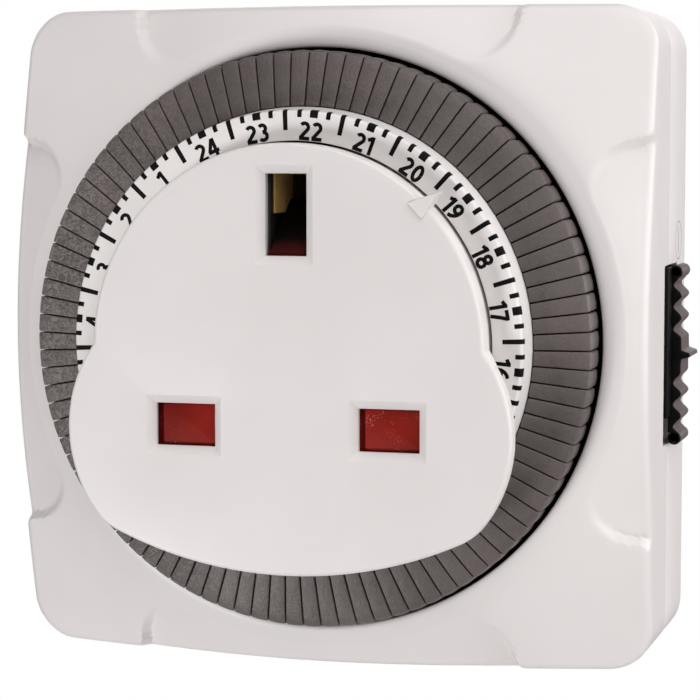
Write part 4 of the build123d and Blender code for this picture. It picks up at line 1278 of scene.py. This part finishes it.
        # the tongue takes the shutter red darkened as painted shade
        self.shop.hand_in(self.tongue(), "shutter", Slot.SHUTTER,
                          material=SHADED_RED.material("shaded_red"))
        coil = self.spring()
        self.shop.hand_in(coil, "housing", Slot.STEEL, "shutter_spring")
        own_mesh(coil)


# ---------------------------------------------------------------- digits
def bow(x: float, y: float, wide: float, high: float, start: float, end: float) -> Array:
    """Part of an ellipse, (x + a cos t, y + b sin t), between two angles in degrees."""
    turn = np.radians(np.linspace(start, end, max(5, round(abs(end - start) / 15))))
    return np.stack([x + wide * np.cos(turn), y + high * np.sin(turn)], -1)


def rod(*spots: tuple[float, float]) -> Array:
    """Straight stroke through two or more corners."""
    return np.array(spots, float)


# middle lines of the strokes, in shares of the digit height
DIGIT_STROKE = 0.2
DIGIT_SPACE = 0.07
SIX = (bow(0.31, 0.31, 0.205, 0.215, 0, 360), bow(0.64, 0.36, 0.53, 0.54, 180, 100))
DIGITS = {
    "0": (bow(0.31, 0.5, 0.205, 0.4, 0, 360),),
    "1": (rod((0.3, 0.0), (0.3, 1.0)), rod((0.02, 0.76), (0.14, 0.82), (0.3, 0.93))),
    "2": (np.concatenate([bow(0.29, 0.69, 0.21, 0.21, 150, -35), rod((0.08, 0.1))]),
          rod((0.03, 0.09), (0.6, 0.09))),
    "3": (bow(0.27, 0.715, 0.195, 0.19, 140, -90), bow(0.27, 0.31, 0.22, 0.215, 90, -145)),
    "4": (rod((0.45, 0.0), (0.45, 1.0)), rod((0.42, 0.97), (0.07, 0.3)),
          rod((0.0, 0.29), (0.64, 0.29))),
    "5": (rod((0.55, 0.91), (0.12, 0.91)), rod((0.17, 0.95), (0.14, 0.5)),
          bow(0.27, 0.32, 0.22, 0.225, 125, -145)),
    "6": SIX,
    "7": (rod((0.02, 0.91), (0.58, 0.91)), rod((0.52, 0.93), (0.36, 0.5), (0.22, 0.0))),
    "8": (bow(0.31, 0.72, 0.185, 0.18, 0, 360), bow(0.31, 0.3, 0.215, 0.205, 0, 360)),
    "9": tuple((0.62, 1.0) - stroke for stroke in SIX),
}
DIGIT_WIDTH = {digit: 0.42 if digit == "1" else 0.62 for digit in DIGITS}


# ---------------------------------------------------------------- dial
@dataclass
class Dial:
    """White hour ring with its print, and the 96 push segments.

    The skirt is the radius and depth of its end. A kind of mark is its shift in hours, its half
    width at a radius of 24 mm, and the distances along the ring's face between which it runs.
    """

    shop: Workshop
    inner: float = 21.4
    outer: float = 24.6
    front: float = 3.3
    rear: float = 6.9
    edge: float = 0.35
    skirt: tuple[float, float] = (24.95, 6.4)
    hour: float = 15.0
    mark_start: float = 5.48
    mark_kinds: tuple[tuple[float, float, float, float], ...] = (
        (0.0, 0.43, 23.85, 25.3), (0.25, 0.24, 23.85, 25.3),
        (0.5, 0.25, 22.5, 25.3), (0.75, 0.24, 23.85, 25.3))
    ink: float = 0.012
    under: float = 0.02
    stroke_lift: float = 0.0015
    digit_start: float = 24.96
    digit_radius: float = 22.45
    digit_height: float = 1.95
    seg_inner: float = 25.05
    seg_outer: float = 31.0
    seg_gap: float = 0.15
    seg_crown: float = 0.12
    seg_corners: tuple[float, float] = (0.26, 0.1)
    seg_edge: float = 0.09
    seg_top: tuple[float, float, float] = (6.5, 7.9, 8.4)
    seg_bend: float = 30.45
    seg_sides: tuple[float, float] = (9.4, 11.8)
    count: int = 96
    first_gap: float = 0.71
    sample: tuple[int, ...] = (4, 5, 6, 7)

    def ring(self) -> bpy.types.Object:
        """Hour ring: rounded outer edge r(1 - sin t), r(1 - cos t), turned about the axis.

        Returns:
            The piece.
        """
        inset, drop = quarter_round(self.edge, 12)
        bore = [(self.inner, self.rear), (self.inner, self.front + 0.12),
                (self.inner + 0.04, self.front + 0.03), (self.inner + 0.12, self.front)]
        edge = np.stack([self.outer - inset, self.front + drop], -1)
        skin = Skin()
        turned(skin, np.concatenate([bore, edge, [self.skirt, (self.skirt[0], self.rear)]]))
        return skin.piece("hour_ring_body")

    def ring_profile(self, reach: Array, lift: float) -> tuple[Array, Array]:
        """Radius and depth of the ring's face at a distance along it, lifted off by a little.

        Up to the rounded edge the distance is the radius. Over the edge its share of the edge
        radius is the angle of the arc, and beyond that it runs down the flaring skirt.

        Args:
            reach: Distances along the face.
            lift: Height over the face.

        Returns:
            One radius and one depth for each distance.
        """
        flat = self.outer - self.edge
        turn = np.clip((reach - flat) / self.edge, 0, QUARTER)
        down = np.maximum(reach - flat - self.edge * QUARTER, 0)
        lean = math.atan2(self.skirt[0] - self.outer, self.skirt[1] - self.front - self.edge)
        radius = np.minimum(reach, flat) + (self.edge + lift) * np.sin(turn) + down * math.sin(lean)
        depth = self.front + self.edge - (self.edge + lift) * np.cos(turn) + down * math.cos(lean)
        return radius, depth

    def ticks(self) -> bpy.types.Object:
        """Printed marks: per hour one broad block, one long line and two short ones.

        Every mark is a strip of the ring's own profile between two azimuths, as a thin closed skin.

        Returns:
            The piece.
        """
        skin = Skin()
        share = np.linspace(0, 1, 22)[:, None]
        across = np.linspace(-1, 1, 4)[None, :]
        for shift, half_width, low, high in self.mark_kinds:
            for number in range(24):
                middle = math.radians(self.mark_start + (number + shift) * self.hour)
                azimuth = middle + across * half_width / 24.0
                sheets = [ring_at(*self.ring_profile(low + (high - low) * share, lift), azimuth)
                          for lift in (self.ink, -self.under)]
                for sheet in sheets:
                    skin.grid(sheet, around=False)
                skin.grid(np.stack([np.concatenate([sheet[0], sheet[1:, -1], sheet[-1, -2::-1],
                                                    sheet[-2:0:-1, 0]]) for sheet in sheets]))
        return skin.piece("hour_marks")

    def numerals(self) -> bpy.types.Object:
        """Hour numbers 1 to 24, feet towards the centre, running down clockwise.

        Every stroke of a digit is a thin slab about its middle line m(t): its sides are
        m + n w/2 and m - n w/2 for the line's normal n and the stroke width w. A later stroke
        lies a little over an earlier one.

        Returns:
            The piece.
        """
        skin = Skin()
        half = DIGIT_STROKE / 2 * self.digit_height
        under = self.front + self.under
        for hour in range(1, 25):
            azimuth = math.radians((24 - hour) * self.hour - self.digit_start)
            digits = str(hour)
            widths = [DIGIT_WIDTH[digit] for digit in digits]
            left = -(sum(widths) + DIGIT_SPACE * (len(digits) - 1)) / 2
            for digit, width in zip(digits, widths):
                for layer, stroke in enumerate(DIGITS[digit]):
                    line = (stroke + (left, -0.5)) * self.digit_height + (0.0, self.digit_radius)
                    top = self.front - self.ink - self.stroke_lift * layer
                    slab = layers(line, normals(stroke), (half, -half, -half, half),
                                  (top, top, under, under))
                    skin.tube(swung(slab, azimuth).swapaxes(0, 1))
                left += width + DIGIT_SPACE
        return skin.piece("hour_numbers")

    def segment_loop(self) -> tuple[Array, Array]:
        """Plan of one segment at the top of the dial, from its outer middle round to it again.

        The right half runs along the outer arc, round the outer corner, down the slanting side and
        round the inner corner. The left half mirrors it.

        Returns:
            Points (u across, v outwards) and outward directions.
        """
        half = math.radians(180.0 / self.count)
        wide = self.seg_outer * math.tan(half) - self.seg_gap / 2
        thin = self.seg_inner * math.tan(half) - self.seg_gap / 2
        lean = math.atan2(wide - thin, self.seg_outer - self.seg_inner)
        (big, small), sag = self.seg_corners, self.seg_crown
        crown = np.linspace(0.0, 1.0, 5)[:-1] * (wide - big)
        top = np.stack([crown, self.seg_outer - sag * (crown / wide) ** 2], -1)
        level = self.seg_outer - sag * ((wide - big) / wide) ** 2
        turn = np.linspace(0.1, QUARTER + lean, 6)
        corner = np.stack([wide - big - 0.01 + big * np.sin(turn),
                           level - big + big * np.cos(turn)], -1)
        low = np.linspace(QUARTER + lean, math.pi - 0.05, 4)
        inner = np.stack([thin - small + small * np.sin(low),
                          self.seg_inner + small + small * np.cos(low)], -1)
        share = np.linspace(0, 1, 7)[1:-1, None]
        side = corner[-1] + share * (inner[0] - corner[-1])
        foot, down = [[0.3 * thin, self.seg_inner]], [[0.0, -1.0]]
        right = np.concatenate([top, corner, side, inner, foot])
        ways = np.concatenate([
            np.stack([2 * sag * crown / wide ** 2, np.ones_like(crown)], -1),
            np.stack([np.sin(turn), np.cos(turn)], -1),
            np.repeat([[math.cos(lean), -math.sin(lean)]], len(side), 0),
            np.stack([np.sin(low), np.cos(low)], -1), down])
        loop = np.concatenate([right[1:], [[0.0, self.seg_inner]], (right * FLIP)[:0:-1],
                               right[:1]])
        around = np.concatenate([ways[1:], down, (ways * FLIP)[:0:-1], ways[:1]])
        return loop, around / np.linalg.norm(around, axis=1)[:, None]

    def top_depth(self, v: Array) -> Array:
        """Depth of a segment's face at radius v: a straight slope, then a rounded shoulder.

        Args:
            v: Radii.

        Returns:
            One depth for each radius.
        """
        first, last, end = self.seg_top
        slope = first + (last - first) * (v - self.seg_inner) / (self.seg_bend - self.seg_inner)
        over = np.clip((v - self.seg_bend) / (self.seg_outer - self.seg_bend), 0, 1)
        return slope + (end - last) * over ** 2

    def segments(self, numbers: list[int], name: str) -> bpy.types.Object:
        """Segments at the given places round the dial, as one mesh.

        The rows of one segment run from the middle of its face over its edge down to its foot.

        Args:
            numbers: Places counted from the first gap line.
            name: Name of the piece.

        Returns:
            The piece.
        """
        loop, way = self.segment_loop()
        inset, drop = quarter_round(self.seg_edge, 4)
        tops = [self.top_depth(loop[:, 1] - way[:, 1] * pull) + fall
                for pull, fall in zip(inset, drop)]
        shape = layers(loop, way, [*inset, 0.0, 0.0], [*tops, *self.seg_sides])
        skin = Skin()
        for number in numbers:
            azimuth = math.radians(self.first_gap + (number + 0.5) * 360.0 / self.count)
            skin.tube(swung(shape, azimuth), rungs=True)
        return skin.piece(name, 50.0)

    def make(self) -> None:
        """Build and hand in the dial pieces."""
        self.shop.hand_in(self.ring(), "dial", Slot.RING, "hour_ring")
        ink = PRINT_INK.material("print_ink")
        self.shop.hand_in(self.ticks(), "dial", Slot.RING, material=ink)
        self.shop.hand_in(self.numerals(), "dial", Slot.RING, material=ink)
        rest = [n for n in range(self.count) if n not in self.sample]
        self.shop.hand_in(self.segments(rest, "quarter_hour_segments"), "dial", Slot.SEGMENT,
                          "time_segments")
        for place, number in enumerate(self.sample, 1):
            piece = self.segments([number], f"quarter_hour_segment_{place}")
            self.shop.hand_in(piece, f"segment_{place}", Slot.SEGMENT, f"time_segment_{place}")


# ---------------------------------------------------------------- slider
@dataclass
class Slider:
    """Black override slider: wavy thumb strip with rolled ends and a fin.

    The turns are the turning points of the strip's outer line, as rows of (z, x beyond the side).
    The roll is a profile of (radius, depth) rows. The blocks are the strip's base, the neck and
    the flange behind the wall: (x beyond the side, z), (half width, half height), corner radius,
    front, rear and edge radius.
    """

    shop: Workshop
    side: float = 35.9
    front: float = 27.0
    rear: float = 33.0
    edge: float = 0.14
    turns: tuple[tuple[float, float], ...] = (
        (6.34, 1.12), (5.56, 0.62), (4.36, 1.46), (3.16, 0.62), (1.95, 1.46), (0.65, 0.62),
        (-0.35, 1.48), (-1.6, 1.5), (-2.05, 2.42), (-2.35, 2.46), (-2.72, 1.5), (-3.2, 1.44),
        (-4.05, 1.44), (-5.3, 0.66), (-6.48, 1.5), (-7.7, 0.66), (-8.91, 1.52), (-10.2, 0.66),
        (-10.82, 1.12))
    roll_places: tuple[tuple[float, float], ...] = ((0.79, 6.95), (0.79, -11.42))
    roll: tuple[tuple[float, float], ...] = (
        (0.5, 31.8), (0.5, 27.05), (0.54, 26.98), (0.68, 26.98), (0.74, 27.06), (0.74, 32.94),
        (0.68, 33.0))
    blocks: tuple[tuple, ...] = (
        ((0.34, -2.2), (0.28, 8.4), 0.1, 27.9, 32.1, 0.08),
        ((-1.0, -0.75), (1.4, 8.25), 0.1, 24.6, 32.9, 0.15),
        ((-2.65, -2.05), (0.4, 10.45), 0.1, 25.2, 34.3, 0.1))

    def strip_outline(self) -> Array:
        """Outer line of the strip as (x, z) rows from top to bottom.

        Crests, valleys, the two flat shelves and the fin's tip are turning points. Between two of
        them the line eases over as x = a + (b - a)(1 - cos(pi t))/2 for t from 0 to 1.

        Returns:
            Array of (x, z) rows.
        """
        share = np.linspace(0, 1, 12, endpoint=False)
        ease = (1 - np.cos(math.pi * share)) / 2
        rows = [np.stack([a + (b - a) * ease, high + (low - high) * share], -1)
                for (high, a), (low, b) in zip(self.turns, self.turns[1:])]
        return np.concatenate([*rows, [self.turns[-1][::-1]]]) + (self.side, 0.0)

    def strip(self, skin: Skin) -> None:
        """Thumb strip: solid between its wavy outer line and the housing, with soft edges.

        Args:
            skin: Surface that takes the strip.
        """
        line = self.strip_outline()
        back = np.stack([np.full(len(line), self.side + 0.08), line[::-1, 1]], -1)
        inset, drop = quarter_round(self.edge, 5)
        skin.tube(layers(np.concatenate([line, back]),
                         np.concatenate([normals(line), np.zeros_like(back)]),
                         [*inset, *inset[::-1]],
                         [*(self.front + drop), *(self.rear - drop[::-1])]), rungs=True)

    def rolls(self, skin: Skin) -> None:
        """Rolled ends: short thin walled tubes, open at the front, with a floor far inside.

        Args:
            skin: Surface that takes the rolls.
        """
        turn, profile = steps_round(48), np.array(self.roll)
        for out, height in self.roll_places:
            skin.tube(world(self.side + out + profile[:, :1] * np.cos(turn), profile[:, 1:],
                            height + profile[:, :1] * np.sin(turn)))

    def make(self) -> None:
        """Build and hand in the slider."""
        skin = Skin()
        self.strip(skin)
        self.rolls(skin)
        for (out, height), *sizes in self.blocks:
            edged_block(skin, (self.side + out, height), *sizes)
        self.shop.hand_in(skin.piece("thumb_slider"), "override", Slot.BLACK, "override_slider")


# ---------------------------------------------------------------- pins
@dataclass(frozen=True)
class Pin:
    """One rectangular plug pin. Reach and sleeve are lengths behind the housing."""

    name: str
    x: float
    z: float
    width: float
    height: float
    reach: float
    sleeve: float


@dataclass
class Pins:
    """Brass plug pins with rounded tips, the two line pins part sleeved."""

    shop: Workshop
    pins: tuple[Pin, ...] = (
        Pin("live_pin", LINE_X, LINE_Z, 6.35, 3.97, 17.7, 9.05),
        Pin("neutral_pin", -LINE_X, LINE_Z, 6.35, 3.97, 17.7, 9.05),
        Pin("earth_pin", 0.0, EARTH_Z, 3.97, 7.92, 22.73, 0.0),
    )
    root: float = 30.0
    tip: float = 1.2
    sleeve_root: float = 2.35
    sleeve_wall: float = 0.3
    sleeve_gap: float = 0.05
    overlap: float = 0.3
    sharp_tip: float = 0.05

    @staticmethod
    def shaft(skin: Skin, pin: Pin, start: float, end: float, inset: float, tip: float) -> None:
        """Rounded bar between two depths; its tip is drawn in along a quarter ellipse.

        The inset grows as 0.62 tip x (1 - cos t) while the depth runs up by tip x sin t, and the
        corner radius shrinks with it.

        Args:
            skin: Surface that takes the bar.
            pin: Pin that gives the place and the outer width and height.
            start: Depth of the root.
            end: Depth of the end.
            inset: How far the bar's sides lie inside the pin's.
            tip: Length of the drawn in tip.
        """
        turn = np.linspace(0, QUARTER, 6)
        insets = np.concatenate([[0.06, 0.0], 0.62 * tip * (1 - np.cos(turn))])
        depths = np.concatenate([[start, start + 0.06], end - tip + tip * np.sin(turn)])
        half = np.array([pin.width, pin.height]) / 2 - inset
        plan = np.stack([rounded_rectangle(*(half - drawn), max(0.35 - 0.4 * drawn, 0.05), 5, 3)[0]
                         for drawn in insets])
        skin.tube(world(plan[..., 0] + pin.x, depths[:, None], plan[..., 1] + pin.z))

    def make(self) -> None:
        """Build and hand in the pins and sleeves."""
        for pin in self.pins:
            skin, start = Skin(), self.root
            sleeve_end = BODY_DEPTH + pin.sleeve
            if pin.sleeve:
                start = sleeve_end + self.sleeve_gap
                self.shaft(skin, pin, self.root, sleeve_end + self.overlap, self.sleeve_wall,
                           self.sharp_tip)
            self.shaft(skin, pin, start, BODY_DEPTH + pin.reach, 0.0, self.tip)
            self.shop.hand_in(skin.piece(pin.name + "_brass"), "housing", Slot.BRASS, pin.name)
            if pin.sleeve:
                cover = Skin()
                self.shaft(cover, pin, BODY_DEPTH - self.sleeve_root, sleeve_end, 0.0,
                           self.sharp_tip)
                self.shop.hand_in(cover.piece(pin.name + "_cover"), "housing", Slot.BLACK,
                                  pin.name + "_sleeve")


# ---------------------------------------------------------------- studio
@dataclass(frozen=True)
class Lamp:
    """Square soft lamp that looks at the object. Place and size are in metres, power in watts."""

    name: str
    place: tuple[float, float, float]
    size: float
    power: float

    def hang(self, target: Vector) -> None:
        """Make the lamp and turn it to the target.

        Args:
            target: Point that it looks at, in metres.
        """
        light = bpy.data.lights.new(self.name, "AREA")
        light.shape, light.size, light.energy = "SQUARE", self.size, self.power
        place = Vector(self.place)
        linked(self.name, light).matrix_world = Matrix.Translation(place) @ (
            (target - place).to_track_quat("-Z", "Y").to_matrix().to_4x4())


@dataclass
class Studio:
    """Camera, lamps, pale floor and white surroundings. Places are in metres, angles in degrees."""

    lamps: tuple[Lamp, ...] = (
        Lamp("key", (0.68, -0.77, 0.45), 1.5, 8.2),
        Lamp("low", (-0.49, -0.77, -0.44), 0.25, 5.2),
        Lamp("side", (0.97, 0.1, 0.1), 0.6, 5.8),
        Lamp("flank", (0.7, 0.66, 0.3), 0.5, 1.7),
        Lamp("top", (0.1, -0.3, 1.0), 1.0, 6.3),
        Lamp("rear", (-0.45, 1.0, 0.3), 1.2, 5.5),
    )
    target: tuple[float, float, float] = (0.0, -0.02, 0.0)
    camera_place: tuple[float, float, float] = (0.077756, -0.28717, 0.021881)
    yaw: float = -15.941
    pitch: float = -4.889
    lens: float = 128.7
    sensor: float = 36.0
    floor_height: float = -0.9
    floor_reach: float = 3.0
    paper: Colour = (0.86, 0.86, 0.86, 1.0)
    air: Colour = (1.0, 0.99, 0.985, 1.0)
    air_strength: float = 0.04
    white: Colour = (1.0, 1.0, 1.0, 1.0)

    def camera(self) -> None:
        """Camera whose forward is (sin y cos p, cos y cos p, sin p) for its yaw y and pitch p."""
        yaw, pitch = math.radians(self.yaw), math.radians(self.pitch)
        ahead = Vector((math.sin(yaw) * math.cos(pitch), math.cos(yaw) * math.cos(pitch),
                        math.sin(pitch)))
        right = Vector((math.cos(yaw), -math.sin(yaw), 0.0))
        data = bpy.data.cameras.new("camera")
        data.lens, data.sensor_width, data.clip_start = self.lens, self.sensor, 0.01
        turn = Matrix((right, right.cross(ahead), -ahead)).transposed().to_4x4()
        holder = linked("camera", data)
        holder.matrix_world = Matrix.Translation(Vector(self.camera_place)) @ turn
        bpy.context.scene.camera = holder

    def floor(self) -> None:
        """Wide pale floor well below the object, its colour lifted to white for the camera."""
        line = np.linspace(-self.floor_reach, self.floor_reach, 3)
        x, y = np.meshgrid(line, line)
        skin = Skin()
        skin.grid(np.stack([x, y, np.full_like(x, self.floor_height)], -1), around=False)
        floor = skin.piece("floor")
        if floor.data.polygons[0].normal.z < 0:
            floor.data.flip_normals()
        material = bpy.data.materials.new("floor")
        tree = Tree.cleared(material)
        paper = tree.node("BsdfPrincipled", Base_Color=self.paper, Roughness=0.9)
        glow = tree.node("Emission", Color=self.white, Strength=1.0)
        tree.node("OutputMaterial", Surface=tree.seen_as(paper, glow))
        floor.data.materials.append(material)

    def surroundings(self) -> None:
        """World that lights softly and looks white behind the object."""
        made = bpy.data.worlds.new("surroundings")
        bpy.context.scene.world = made
        tree = Tree.cleared(made)
        soft = tree.node("Background", Color=self.air, Strength=self.air_strength)
        white = tree.node("Background", Color=self.white, Strength=1.0)
        tree.node("OutputWorld", Surface=tree.seen_as(soft, white))

    def make(self) -> None:
        """Set up the whole studio."""
        self.camera()
        self.floor()
        self.surroundings()
        for lamp in self.lamps:
            lamp.hang(Vector(self.target))
        bpy.context.scene.view_settings.view_transform = "Standard"


def corners(bounds: object) -> list[list[float]]:
    """Bounds as plain lists of numbers."""
    return [[float(value) for value in corner] for corner in bounds]


def main() -> None:
    """Build every sub-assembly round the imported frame, in order."""
    logging.basicConfig(level=logging.INFO, format="%(name)s: %(message)s")
    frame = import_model()
    record = frame["record"]
    node_slot = {entry["node"]: entry["material_slot"] for entry in record["subparts"]}
    shop = Workshop(frame["nodes"], node_slot)
    shop.mix_finishes()
    shop.dress_rest()
    for part in (Housing, Socket, Dial, Slider, Pins):
        part(shop).make()
    Studio().make()


if __name__ == "__main__":
    main()
